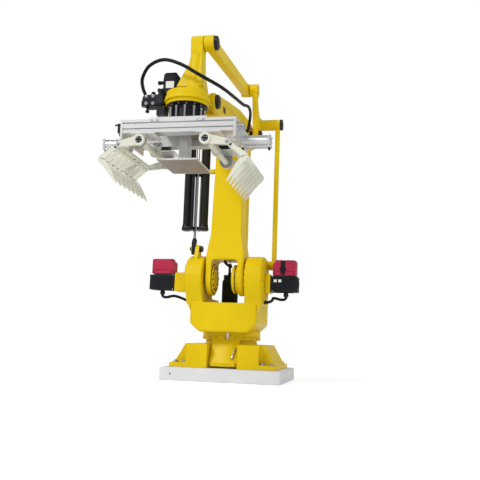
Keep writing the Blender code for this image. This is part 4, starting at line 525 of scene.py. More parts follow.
def hex_bolt(target, centre, direction, radius, washer=True):
    """A hexagon head on a washer, seated on a face."""
    height, base = radius * HEAD_HEIGHT_SHARE, -NUDGE
    if washer:
        rim = WASHER_SHARES[0]
        lathe(target, centre, direction,
              [(radius * rim[0], base), *((radius * a, radius * b) for a, b in WASHER_SHARES)], 20)
        base = radius * rim[1]
    lathe(target, centre, direction,
          [(radius, base), (radius, height * HEAD_FLANK_SHARE + base),
           (radius * HEAD_TOP_SHARE, height + base)], 6)


def cap_screw(target, centre, direction, radius):
    """A socket head with its chamfered rim and hexagon recess."""
    lathe(target, centre, direction,
          [(radius, -NUDGE), *((radius * a, radius * b) for a, b in SOCKET_SHARES)], SMALL)


def box(target, low, high):
    """Adds a block between two corners."""
    low, high = Vector(low), Vector(high)
    made = bmesh.ops.create_cube(target, size=1.0)["verts"]
    bmesh.ops.scale(target, vec=high - low, verts=made)
    bmesh.ops.translate(target, vec=(low + high) / 2, verts=made)
    return made


def block(target, name, low=ORIGIN, high=ORIGIN, flip=(1, 1, 1)):
    """Adds a named block on a box; an axis that is flipped counts its mm the other way."""
    faces = []
    for axis, marks in enumerate(entry(BLOCKS, name)):
        share, past, far_share, far_past = marks if marks[2:] else (LOW, marks[0], LOW, marks[1])
        unit, span = MM * flip[axis], high[axis] - low[axis]
        faces.append(sorted((low[axis] + share * span + past * unit,
                             low[axis] + far_share * span + far_past * unit)))
    return box(target, *zip(*faces))


def block_piece(name, body, coat, low=ORIGIN, high=ORIGIN):
    """A piece that is the block of its own name."""
    target = bmesh.new()
    block(target, name, low, high)
    return piece(name, target, body, coat)


def ring_of(name, centre, direction):
    """The places of a named circle of fasteners about a direction."""
    radius, count, start = CIRCLES[name]
    turn = facing(direction)
    return [Vector(centre) + turn @ spot for spot in around(radius * MM, count, start)]


def bolt_circle(target, name, centre, direction, radius, head=cap_screw):
    """Puts a fastener on each place of a named circle."""
    for place in ring_of(name, centre, direction):
        head(target, place, direction, radius)


def screws_piece(name, body, coat, *circles):
    """A piece of fasteners; each circle is its name, centre, direction, size and head."""
    target = bmesh.new()
    for circle in circles:
        bolt_circle(target, *circle)
    return piece(name, target, body, coat)


def curve_points(places, steps=8):
    """A smooth line through places, straight at its ends."""
    ends = [2 * places[0] - places[1], *places, 2 * places[-1] - places[-2]]
    points = []
    for before, start, end, after in zip(ends, ends[1:], ends[2:], ends[3:]):
        for i in range(steps):
            t = i / steps
            points.append(0.5 * (2 * start + (end - before) * t
                                 + (2 * before - 5 * start + 4 * end - after) * t * t
                                 + (3 * start - before - 3 * end + after) * t ** 3))
    return [*points, places[-1]]


def heading_at(points, index):
    """The unit direction of a line at one of its points."""
    return (points[min(index + 1, len(points) - 1)] - points[max(index - 1, 0)]).normalized()


def sweep(target, points, radius, sides=14):
    """Adds a closed tube along points."""
    heading = (points[1] - points[0]).normalized()
    side = heading.cross(X if abs(heading.x) < 0.9 else Y).normalized()
    rings = []
    for index, point in enumerate(points):
        heading = heading_at(points, index)
        side = (side - heading * side.dot(heading)).normalized()
        other = heading.cross(side)
        rings.append([target.verts.new(point + side * spot.x + other * spot.y)
                      for spot in around(radius, sides)])
    for low, high in zip(rings, rings[1:]):
        bridge(target, low, high)
    target.faces.new(rings[0])
    target.faces.new(rings[-1])


def route(name, start=ORIGIN, side=1):
    """The points of a named line from a start, with X counted outward on a side."""
    return [at(start, side * x, y, z) for x, y, z in ROUTES[name]]


class RobotSizes(bpy.types.PropertyGroup):
    """Sizes of the details that are added to the frame."""
    foot_bolt: bpy.props.FloatProperty(
        name="Foot bolt", description="Half width of the foundation bolts",
        default=0.021, unit="LENGTH")
    ring_bolt: bpy.props.FloatProperty(
        name="Ring bolt", description="Half width of the bolts on flanges",
        default=0.009, unit="LENGTH")
    cap_rise: bpy.props.FloatProperty(
        name="Cap rise", description="How far the pivot covers stand proud",
        default=0.003, unit="LENGTH")
    hose: bpy.props.FloatProperty(
        name="Hose radius", description="Outer radius of the dress hose",
        default=0.0125, unit="LENGTH")
    cable: bpy.props.FloatProperty(
        name="Cable radius", description="Outer radius of the motor cables",
        default=0.0125, unit="LENGTH")
    finger: bpy.props.FloatProperty(
        name="Finger thickness", description="Thickness of one jaw finger",
        default=0.012, unit="LENGTH")
    fingers: bpy.props.IntProperty(
        name="Fingers", description="Fingers on each jaw", default=8, min=2)


class RobotColours(bpy.types.PropertyGroup):
    """Colours of the stage."""
    floor: bpy.props.FloatVectorProperty(
        name="Floor", description="Colour of the plain floor", subtype="COLOR",
        default=linear("#F4F4F4"))
    sky: bpy.props.FloatVectorProperty(
        name="Backdrop", description="Colour behind the robot", subtype="COLOR",
        default=linear("#FFFFFF"))


def sizes():
    """The sizes set in the panel."""
    return bpy.context.scene.robot_sizes


class RobotStage(bpy.types.Operator):
    """Set the camera, the soft lights and the pale floor"""
    bl_idname = "robot.stage"
    bl_label = "Stage"

    def execute(self, context):
        scene = context.scene
        scene.view_settings.view_transform = "Standard"
        a, p, r = VIEW_TURN, VIEW_PITCH, VIEW_ROLL
        ahead = Vector((-math.sin(a) * math.cos(p), math.cos(a) * math.cos(p), math.sin(p)))
        right = Vector((math.cos(a), math.sin(a), 0))
        up = right.cross(ahead)
        right, up = (right * math.cos(r) + up * math.sin(r),
                     up * math.cos(r) - right * math.sin(r))
        data = bpy.data.cameras.new("view")
        data.sensor_fit = "HORIZONTAL"
        data.sensor_width = SENSOR
        data.lens = VIEW_FOCAL_SHARE * SENSOR
        data.clip_end = VIEW_DEPTH
        camera = bpy.data.objects.new("view", data)
        turn = Matrix((right, up, -ahead)).transposed().to_4x4()
        camera.matrix_world = Matrix.Translation(VIEW_PLACE) @ turn
        scene.collection.objects.link(camera)
        scene.camera = camera

        target = bmesh.new()
        bmesh.ops.create_grid(target, x_segments=1, y_segments=1, size=FLOOR_SIZE)
        mesh = bpy.data.meshes.new("floor")
        target.to_mesh(mesh)
        target.free()
        floor = bpy.data.objects.new("floor", mesh)
        scene.collection.objects.link(floor)
        paint = bpy.data.materials.new("matt_floor")
        paint.use_nodes = True
        shader = paint.node_tree.nodes["Principled BSDF"]
        shader.inputs["Base Color"].default_value = (*scene.robot_colours.floor, 1)
        shader.inputs["Roughness"].default_value = FLOOR_ROUGHNESS
        shader.inputs["Specular IOR Level"].default_value = FLOOR_SPECULAR
        shader.inputs["Emission Color"].default_value = (1, 1, 1, 1)
        seen = node(paint.node_tree, "ShaderNodeLightPath").outputs["Is Camera Ray"]
        lift = node(paint.node_tree, "ShaderNodeMath", {0: seen}, operation="MULTIPLY")
        lift.inputs[1].default_value = FLOOR_LIFT
        paint.node_tree.links.new(lift.outputs[0], shader.inputs["Emission Strength"])
        mesh.materials.append(paint)

        world = bpy.data.worlds.new("studio")
        scene.world = world
        world.use_nodes = True
        tree = world.node_tree
        tree.nodes.clear()
        ray = node(tree, "ShaderNodeLightPath")
        dimmed = node(tree, "ShaderNodeMath", {0: ray.outputs["Is Glossy Ray"]},
                      operation="MULTIPLY_ADD")
        dimmed.inputs[1].default_value = -SKY_GLOSS_CUT
        dimmed.inputs[2].default_value = SKY_LIGHT
        soft = node(tree, "ShaderNodeBackground", {"Strength": dimmed.outputs[0]})
        shown = node(tree, "ShaderNodeBackground", Strength=1.0)
        for sky in (soft, shown):
            sky.inputs["Color"].default_value = (*scene.robot_colours.sky, 1)
        mix = node(tree, "ShaderNodeMixShader", {0: ray.outputs["Is Camera Ray"],
                                                 1: soft.outputs[0], 2: shown.outputs[0]})
        node(tree, "ShaderNodeOutputWorld", {"Surface": mix.outputs[0]})

        for name, place, softness, power in LAMPS:
            lamp = bpy.data.lights.new(name, "SUN")
            lamp.angle = math.radians(softness)
            lamp.energy = power
            holder = bpy.data.objects.new(name, lamp)
            holder.location = place
            holder.visible_glossy = name == "key"
            aim = LAMP_AIM - Vector(place)
            holder.rotation_euler = aim.to_track_quat("-Z", "Y").to_euler()
            scene.collection.objects.link(holder)
        return {"FINISHED"}


class RobotFinishes(bpy.types.Operator):
    """Give every CAD piece the finish of its slot"""
    bl_idname = "robot.finishes"
    bl_label = "Finishes"

    def execute(self, context):
        slots = {part["node"]: part["material_slot"] for part in frame["record"]["subparts"]}
        for name, obj in frame["nodes"].items():
            coat = finish(OWN_COATS.get(name, SLOTS[slots[name]]))
            if not obj.data.materials:
                obj.data.materials.append(coat)
            for slot in obj.material_slots:
                slot.material = coat
        return {"FINISHED"}


# A pivot cover: (share of its radius, mm below its rise)
COVER_LINE = ((1, 2), (0.93, 0), (0.62, 0), (0.58, 2), (0.3, 2), (0.26, 0), (0, 0))
COVER_SUNK = 0.019


def cover(name, pivot, x_face, radius, body):
    """A turned cover with a groove and a centre screw, on a pivot's end."""
    rise = sizes().cap_rise
    target = bmesh.new()
    lathe(target, beside(pivot, x_face), X * math.copysign(1, x_face),
          [(radius, -COVER_SUNK), *((radius * share, rise - down * MM)
                                    for share, down in COVER_LINE)], ROUND)
    return piece(name, target, body, BLACK)


class RobotBase(bpy.types.Operator):
    """Foundation bolts, turntable seal and the lifting handle of the base"""
    bl_idname = "robot.base"
    bl_label = "Base"

    def execute(self, context):
        size = sizes()
        low, high = corners("plinth")
        bolts = bmesh.new()
        for side in SIDES:
            for x in FOOT_X:
                for y in (-FOOT_Y, FOOT_Y):
                    hex_bolt(bolts, (side * x, y, high.z + FOOT_RISE), Z, size.foot_bolt)
        piece("foot_bolts", bolts, "root", ZINC)

        swing = PIVOTS["swing"]
        turned_piece("turntable_seal", "root", YELLOW, at(swing, 0, 0, -6), Z)
        screws = bmesh.new()
        for place in ring_of("turntable", at(swing, 0, 0, -18), Z):
            out = Vector((place.x, place.y, 0)).normalized()
            cap_screw(screws, place, out, size.ring_bolt * SMALLER_SHARE)
        piece("turntable_screws", screws, "root", YELLOW)

        handle = bmesh.new()
        sweep(handle, curve_points(route("base_handle")), HANDLE_RADIUS)
        piece("base_handle", handle, "root", BRIGHT)
        block_piece("index_lug", "turret", YELLOW)
        turned_piece("index_pin", "turret", BRIGHT, at(ORIGIN, 26, -285, 434), -Z)

        web, rims = bmesh.new(), []
        for back in (0.0, WEB_DEPTH):
            grid = [[web.verts.new((x, y + swell + back, z)) for x, swell in WEB_COLUMNS]
                    for z, y in WEB_ROWS]
            for upper, lower in zip(grid, grid[1:]):
                for j in range(len(upper) - 1):
                    web.faces.new((upper[j], upper[j + 1], lower[j + 1], lower[j]))
            rims.append([*grid[0], *(row[-1] for row in grid[1:]), *grid[-1][-2::-1],
                         *(row[0] for row in grid[-2:0:-1])])
        bridge(web, *rims)
        piece("base_front_web", web, "root", YELLOW, smooth=SOFT)
        block_piece("base_front_plate", "root", YELLOW)

        turned_piece("plinth_plug", "root", BLACK, (low.x + PLUG_INSET, low.y, high.z / 2), -Y)
        sockets = bmesh.new()
        for x in SOCKET_X:
            turned(sockets, "base_socket", (x, SOCKET_Y, SOCKET_Z), Y)
        piece("base_sockets", sockets, "root", BLACK)
        return {"FINISHED"}


class RobotShoulder(bpy.types.Operator):
    """Flange bolts, motor ribs, connectors and cables round the shoulder"""
    bl_idname = "robot.shoulder"
    bl_label = "Shoulder drives"

    def execute(self, context):
        centre, eye, bolt = PIVOTS["shoulder"], PIVOTS["rod_tilt"], sizes().ring_bolt
        bolts, gussets, rings = bmesh.new(), bmesh.new(), bmesh.new()
        for side in SIDES:
            for place in ring_of("gear_outer", beside(centre, side * GEAR_FACE), X * side):
                if side < 0 or (place.yz - eye.yz).length >= ROD_EYE_ROOM:
                    cap_screw(bolts, place, X * side, bolt)
            bolt_circle(bolts, "gear_inner", beside(centre, side * YOKE_INNER), X * -side,
                        bolt * TINY_SHARE)
            prism(gussets, [[(side * x, y, z) for x, z in GUSSET] for y in GUSSET_Y])
            turned(rings, "ear_ring", beside(centre, side * YOKE_FACE), X * side)
        piece("gear_flange_bolts", bolts, "turret", YELLOW)
        piece("yoke_gussets", gussets, "turret", YELLOW)
        piece("ear_rings", rings, "turret", YELLOW)
        for side, word in HANDS:
            self.motor(side, word)
            self.encoder(side, word)
            self.cable(side, word)
        self.swing_motor()
        return {"FINISHED"}

    def motor(self, side, word):
        """Ribs, front flange, screws and tail of one arm motor."""
        low, high = outward(word + "_motor", side)
        mid, half = (low + high) / 2, (high.z - low.z) / 2
        start, end = sorted((low.x + side * RIB_FRONT, high.x - side * RIB_BACK))
        ribs, flange, screws = bmesh.new(), bmesh.new(), bmesh.new()
        for offset in MOTOR_RIBS:
            y0, y1 = mid.y + offset - RIB_HALF, mid.y + offset + RIB_HALF
            z0, z1 = mid.z + offset - RIB_HALF, mid.z + offset + RIB_HALF
            for face in SIDES:
                box(ribs, (start, mid.y + face * (half - RIB_SUNK), z0),
                    (end, mid.y + face * (half + RIB_RISE), z1))
            box(ribs, (start, y0, low.z - RIB_RISE), (end, y1, low.z + RIB_SUNK))
        piece(word + "_motor_ribs", ribs, "turret", CAST)
        block(flange, "motor_flange", low, high, (side, 1, 1))
        piece(word + "_motor_flange", flange, "turret", CAST)
        for dy in SIDES:
            for dz in SIDES:
                front = at((low.x, mid.y + dy * half, mid.z + dz * half), 14 * side, -6 * dy, -8 * dz)
                back = at((high.x, mid.y + dy * half, mid.z + dz * half), 0, -22 * dy, -22 * dz)
                cap_screw(screws, front, X * side, HEADS["motor_front"])
                cap_screw(screws, back, X * side, HEADS["motor_tail"])
        piece(word + "_motor_screws", screws, "turret", ZINC)
        if side > 0:
            labels = bmesh.new()
            for name in ("inner_label", "outer_label"):
                block(labels, name, low, high)
            piece("motor_labels", labels, "turret", LABEL)
        turned_piece(word + "_motor_tail", "turret", CAST, beside(mid, high.x), X * side)

    def encoder(self, side, word):
        """Seams, screws and lid of one encoder box, and the right one's dial and studs."""
        low, high = corners(word + "_encoder_box")
        mid = (low + high) / 2
        trims = bmesh.new()
        if side > 0:
            turned(trims, "encoder_dial", at((mid.x, low.y, mid.z), -12, 0, -12), -Y)
            block(trims, "encoder_strip", low, high)
            for x in (-40, 30):
                turned(trims, "encoder_stud", at((mid.x, mid.y, high.z), x, -10, 0), Z)
        for x, inward in ((low.x, 20), (high.x, -20)):
            turned(trims, "encoder_screw", at((x, low.y, low.z), inward, 0, 18), -Y)
        for name in ("encoder_front_seam", "encoder_rear_seam"):
            block(trims, name, low, high)
        piece(word + "_encoder_trims", trims, "turret", CAST)
        block_piece(word + "_encoder_lid", "turret", RED, low, high)

    def cable(self, side, word):
        """The glands of one arm motor and its cable down to the turret's flank."""
        size = sizes()
        low, high = outward(word + "_motor", side)
        top = at((low.x, (low.y + high.y) / 2, low.z), side * PLUG_OUT, 0, 0)
        landing = at(beside(top, side * CABLE_LANDING), *LANDING_STEP)
        plug = bmesh.new()
        turned(plug, "cable_plug", top, -Z)
        turned(plug, "cable_gland", landing, X * side)
        piece(word + "_cable_glands", plug, "turret", BLACK)
        points = curve_points(route("cable_start", top, side) + route("cable_end", landing, side), 6)
        cable = bmesh.new()
        sweep(cable, points, size.cable)
        made = piece(word + "_cable_jacket", cable, "turret", RUBBER,
                     replaced=(word + "_motor_cable",))

    def swing_motor(self):
        """Ribs and plug of the swing motor, and its cable to the lower arm."""
        size = sizes()
        low, high = corners("swing_motor")
        mid = (low + high) / 2
        z0, z1 = low.z + RIB_FRONT, high.z - SWING_HEAD
        swing = bmesh.new()
        for face in SIDES:
            x, y = mid.x + face * SWING_HALF, mid.y + face * SWING_HALF
            for offset in SWING_RIBS:
                box(swing, (mid.x + offset - RIB_HALF, y - SWING_SUNK, z0),
                    (mid.x + offset + RIB_HALF, y + SWING_RISE, z1))
                box(swing, (x - RIB_RISE, mid.y + offset - RIB_HALF, z0),
                    (x + RIB_RISE, mid.y + offset + RIB_HALF, z1))
        top = at((mid.x, mid.y, high.z), 0, -45, 0)
        turned(swing, "riser_plug", top, Z)
        piece("swing_motor_ribs", swing, "turret", CAST)
        start = at(top, 0, 0, 20)
        points = curve_points(route("riser_start", start) + route("riser_end"), 7)
        riser = bmesh.new()
        sweep(riser, points, size.cable)
        made = piece("swing_motor_riser", riser, None, RUBBER, smooth=SOFT)
        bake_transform(made)


class RobotArms(bpy.types.Operator):
    """Hub discs, bolt circles and pivot covers of the arms and links"""
    bl_idname = "robot.arms"
    bl_label = "Arms and links"

    def execute(self, context):
        shoulder, elbow, wrist = (PIVOTS[n] for n in ("shoulder", "elbow", "wrist_level"))
        rod, link = PIVOTS["rod_tilt"], PIVOTS["link_tilt"]
        bolt = sizes().ring_bolt

        turned_piece("left_hub_disc", "lower_arm", YELLOW, beside(shoulder, HUB_FACE), X)
        turned_piece("left_hub_seal", "lower_arm", RUBBER, beside(shoulder, HUB_FACE), X)
        screws_piece("left_hub_screws", "lower_arm", BLACK,
                     ("left_hub", beside(shoulder, HUB_SCREW_FACE), X, bolt * SMALLER_SHARE))
        turned_piece("crank_hub_disc", "crank", YELLOW, beside(shoulder, CRANK_FACE), -X)
        turned_piece("crank_rim_seal", "crank", RUBBER, beside(shoulder, CRANK_RIM), -X)
        screws_piece("crank_hub_screws", "crank", BLACK,
                     ("crank_hub", beside(shoulder, CRANK_SCREW_FACE), -X, bolt * SMALLER_SHARE))

        cover("left_wrist_cover", wrist, -WRIST_FACE, LINK_COVER, "wrist")
        cover("right_wrist_cover", wrist, WRIST_FACE, LINK_COVER, "wrist")
        cover("tower_cover", link + (wrist - elbow), TOWER_FACE, LINK_COVER, "wrist")
        cover("elbow_cover", elbow, ELBOW_FACE, ELBOW_COVER, "elbow_level")
        cover("bracket_rear_cover", rod + (elbow - shoulder), REAR_EYE_FACE, LINK_COVER,
              "elbow_level")
        screws_piece("bracket_screws", "elbow_level", ZINC,
                     ("link_eye", beside(link, BRACKET_FACE), X, bolt * EYE_SHARES[0]),
                     ("elbow_eye", beside(elbow, BRACKET_FACE), X, bolt * EYE_SHARES[1]))
        screws_piece("upper_arm_screws", "upper_arm", ZINC,
                     *(("elbow_side", beside(elbow, side * ARM_FACE), X * side,
                        bolt * TINY_SHARE) for side in SIDES))

        along = (wrist - elbow).normalized()
        up = along.cross(X) * math.copysign(1, along.cross(X).z)
        window = elbow.lerp(wrist, WINDOW_SHARE)
        turn = Matrix.Rotation(math.atan2(-along.z, -along.y), 4, "X")
        plugs, dark = bmesh.new(), bmesh.new()
        for side in SIDES:
            for reach in PLUG_REACH:
                point = elbow + along * reach + up * PLUG_RISE
                turned(plugs, "arm_plug", beside(point, side * ARM_FACE), X * side)
            # A black sheet behind each window of the arm, as painted shade in the opening
            spot = X * side * WINDOW_FACE
            bmesh.ops.transform(dark, verts=block(dark, "arm_window", spot, spot),
                                matrix=Matrix.Translation(window) @ turn)
        piece("arm_plugs", plugs, "upper_arm", BLACK)
        piece("arm_window_back", dark, "upper_arm", BLACK)
        return {"FINISHED"}


class RobotBalancer(bpy.types.Operator):
    """End collars, tie rods and the chromed rod's gland on the gas balancer"""
    bl_idname = "robot.balancer"
    bl_label = "Balancer"

    def execute(self, context):
        low, high = corners("balancer_tubes")
        rod_low, rod_high = corners("balancer_rod")
        pin = PIVOTS["balancer_rod_tilt"]
        height = high.z - low.z
        base = Vector(((low.x + high.x) / 2, PIVOTS["balancer_tube_tilt"].y, low.z))
        collars, bolts, rods, slim = bmesh.new(), bmesh.new(), bmesh.new(), bmesh.new()
        for side in SIDES:
            tube = base + X * side * TUBE_OUT
            for end, way in ((tube, Z), (tube + Z * height, -Z)):
                turned(collars, "balancer_collar", end, way)
                bolt_circle(bolts, "balancer_cap", end - way * TUBE_CAP, -way, HEADS["balancer_cap"])
            for y in TIE_Y[:1] if side < 0 else TIE_Y:
                spanned(rods, "tie_rod", base + Vector((side * TIE_X, y, -TIE_FOOT)), height)
        spanned(slim, "slim_tube", at(base, -19, -52, -2), height)
        piece("balancer_slim_tube", slim, "balancer_tubes", BLACK)
        piece("balancer_collars", collars, "balancer_tubes", BLACK)
        piece("balancer_screws", bolts, "balancer_tubes", ZINC)
        piece("balancer_tie_rods", rods, "balancer_tubes", BRIGHT)

        turned_piece("rod_end_nut", "balancer_rod", BLACK, at(beside(pin, base.x), 0, 0, 64), Z)
        block_piece("rod_clevis_cover", "balancer_rod", BLACK, rod_low, rod_high)
        turned_piece("lug_nut", "turret", BLACK, beside(pin, LUG_FACE), X)
        turned_piece("rod_pin_knob", "balancer_rod", BLACK, at(beside(pin, rod_low.x), -4, 0, 0), -X)
        return {"FINISHED"}


class RobotWrist(bpy.types.Operator):
    """Flange bolts, motor label, fittings and the dress hose at the wrist"""
    bl_idname = "robot.wrist"
    bl_label = "Wrist"

    def execute(self, context):
        wrist, tool = PIVOTS["wrist_level"], PIVOTS["tool_turn"]
        turned_piece("wrist_under_ring", "wrist", BLACK, tool, -Z)
        bolts, collar, pillars = bmesh.new(), bmesh.new(), bmesh.new()
        for place in ring_of("wrist_under", at(tool, 0, 0, -7), -Z):
            hex_bolt(bolts, place, -Z, HEADS["wrist_under"], washer=False)
        top = at(tool, 0, 0, 95)
        for place in ring_of("wrist_top", top, Z):
            under_tower = place.y > wrist.y - TOWER_FRONT
            under_motor = place.x < MOTOR_RIGHT and place.y > tool.y - MOTOR_FRONT
            if not (under_tower or under_motor):
                cap_screw(bolts, place, Z, HEADS["wrist_top"])
        piece("wrist_ring_bolts", bolts, "wrist", ZINC)
        turned_piece("wrist_ring_lip", "wrist", YELLOW, at(tool, 0, 0, 24), Z)
        turned_piece("wrist_bell", "wrist", YELLOW, at(top, 43, 22, 0), Z, smooth=BELL_SMOOTH)

        foot, stand, head = (Vector((0, tool.y, z)) for z in FLANGE_LEVELS)
        screws_piece("tool_flange_bolts", "tool", ZINC,
                     ("tool_flange", foot, Z, HEADS["tool_flange"], hex_bolt))
        turned(collar, "flange_foot", foot, Z)
        turned(collar, "flange_head", head, Z)
        turned(collar, "flange_sleeve", stand, Z)
        piece("tool_flange_collar", collar, "tool", BLACK)
        for place in ring_of("pillars", stand, Z):
            turned(pillars, "tool_pillar", place, Z)
        piece("tool_pillars", pillars, "tool", BRIGHT)
        self.motor()
        self.connectors()
        self.hose()
        return {"FINISHED"}

    def motor(self):
        """Label, ribs, lid and plugs of the wrist motor."""
        low, high = corners("wrist_motor")
        mid = (low + high) / 2
        block_piece("wrist_motor_label", "wrist", LABEL, low, high)
        ribs = bmesh.new()
        for offset in WRIST_RIBS:
            y0, y1 = mid.y + offset - WRIST_RIB_HALF, mid.y + offset + WRIST_RIB_HALF
            for x0, x1 in ((low.x - WRIST_RIB_RISE, low.x + RIB_SUNK),
                           (high.x - RIB_SUNK, high.x + WRIST_RIB_RISE)):
                box(ribs, (x0, y0, low.z + RIB_FRONT), (x1, y1, high.z - RIB_FRONT))
        block(ribs, "wrist_motor_lid", low, high)
        for z in (50, 105):
            turned(ribs, "motor_plug", at((low.x, mid.y, low.z), 0, -12, z), -X)
        piece("wrist_motor_ribs", ribs, "wrist", CAST)

    def connectors(self):
        """Unions, bracket and screws of the connector block."""
        low, high = corners("connector_block")
        mid = (low + high) / 2
        union, screws = bmesh.new(), bmesh.new()
        for name, place, way in (
                ("side_union", at(beside(mid, low.x), 4, 0, 0), -X),
                ("top_union", at((mid.x, mid.y, high.z), 35, -4, 0), Z),
                ("hose_union", at(beside(mid, low.x), -8.2, 0, -20), Z),
                ("inner_union", at((low.x, mid.y, high.z), 52, 0, 0), Z),
                ("drain_union", at((low.x, mid.y, low.z), 20, -20, 0), -Z)):
            turned(union, name, place, way)
        block(union, "connector_arm", low, high)
        block(union, "connector_strip", low, high)
        piece("connector_unions", union, "wrist", BLACK)
        for x, right in ((low.x, 20), (mid.x, -5)):
            for z, up in ((low.z, 16), (high.z, -16)):
                hex_bolt(screws, at((x, low.y, z), right, 0, up), -Y, HEADS["connector"])
        for x in (50, 75):
            turned(screws, "connector_stud", at((low.x, mid.y, high.z), x, 30, 0), Z)
        piece("connector_screws", screws, "wrist", BRIGHT)

    def hose(self):
        """The dress hose from its union over the wrist to the upper arm's side."""
        size = sizes()
        low, high = corners("connector_block")
        start = Vector((HOSE_START_X, (low.y + high.y) / 2, HOSE_START_Z))
        points = curve_points(route("hose_start", start) + route("dress_hose"), 8)
        hose = bmesh.new()
        sweep(hose, points, size.hose, 16)
        made = piece("dress_hose_jacket", hose, None, RUBBER, smooth=SOFT,
                     replaced=("dress_hose",))
        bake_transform(made)
        turned_piece("hose_gland", "upper_arm", BLACK, HOSE_END, X)


def tine(target, side, jaw, start, thick):
    """One finger: a flat tine that runs out, turns a heel and tapers to a point."""
    line = curve_points([Vector((p.x, 0, p.y)) for p in TINE_LINE], 5)
    left, right = [], []
    for index, point in enumerate(line):
        along = heading_at(line, index)
        across = Vector((along.z, 0, -along.x))
        share = index / (len(line) - 1) * (len(TINE_WIDTHS) - 1)
        low = min(int(share), len(TINE_WIDTHS) - 2)
        width = TINE_WIDTHS[low] + (TINE_WIDTHS[low + 1] - TINE_WIDTHS[low]) * (share - low)
        left.append(point + across * width / 2)
        right.append(point - across * width / 2)
    outlines = [[(jaw.x + side * p.x, y, jaw.z + p.z) for p in left + right[::-1]]
                for y in (start, start + thick)]
    for ring in prism(target, outlines, capped=False):
        for i in range(len(left) - 1):
            target.faces.new((ring[i], ring[i + 1], ring[-2 - i], ring[-1 - i]))


def rail_profile(target, low_x, high_x, outer, across, top):
    """Adds an extrusion along X: grooves in its outer and under faces."""
    mouth, lip, deep, wide = RAIL_MOUTH, RAIL_LIP, RAIL_GROOVE, RAIL_WIDE
    depth, height = abs(across), RAIL_HEIGHT
    line = [(0.0, 0.0)]
    for share in SIDE_GROOVE_SHARES:
        mid = share * height
        line += [(0, mid - mouth), (lip, mid - mouth), (lip, mid - wide), (deep, mid - wide),
                 (deep, mid + wide), (lip, mid + wide), (lip, mid + mouth), (0, mid + mouth)]
    line.append((0, height))
    for share in UNDER_GROOVE_SHARES:
        mid = share * depth
        line += [(mid - mouth, height), (mid - mouth, height - deep),
                 (mid + mouth, height - deep), (mid + mouth, height)]
    line += [(depth, height), (depth, 0)]
    prism(target, [[(x, outer + math.copysign(inward, across), top - down)
                    for inward, down in line] for x in (low_x, high_x)])


def bearing_leg(target, jaw, near, far):
    """Adds a bearing plate across Y: a rounded foot about the shaft under a square top."""
    rings = []
    for y in (near, far):
        outer, inner = [], []
        for spot in around(1, ROUND):
            reach = LEG_FOOT
            if spot.y > 0:
                reach = max(LEG_FOOT, min(LEG_TOP / spot.y, LEG_HALF / max(abs(spot.x), 0.01)))
            for ring, out in ((outer, reach), (inner, LEG_ROOM)):
                ring.append(target.verts.new((jaw.x + out * spot.x, y, jaw.z + out * spot.y)))
        bridge(target, outer, inner)
        rings.append((outer, inner))
    for low, high in zip(*rings):
        bridge(target, low, high)


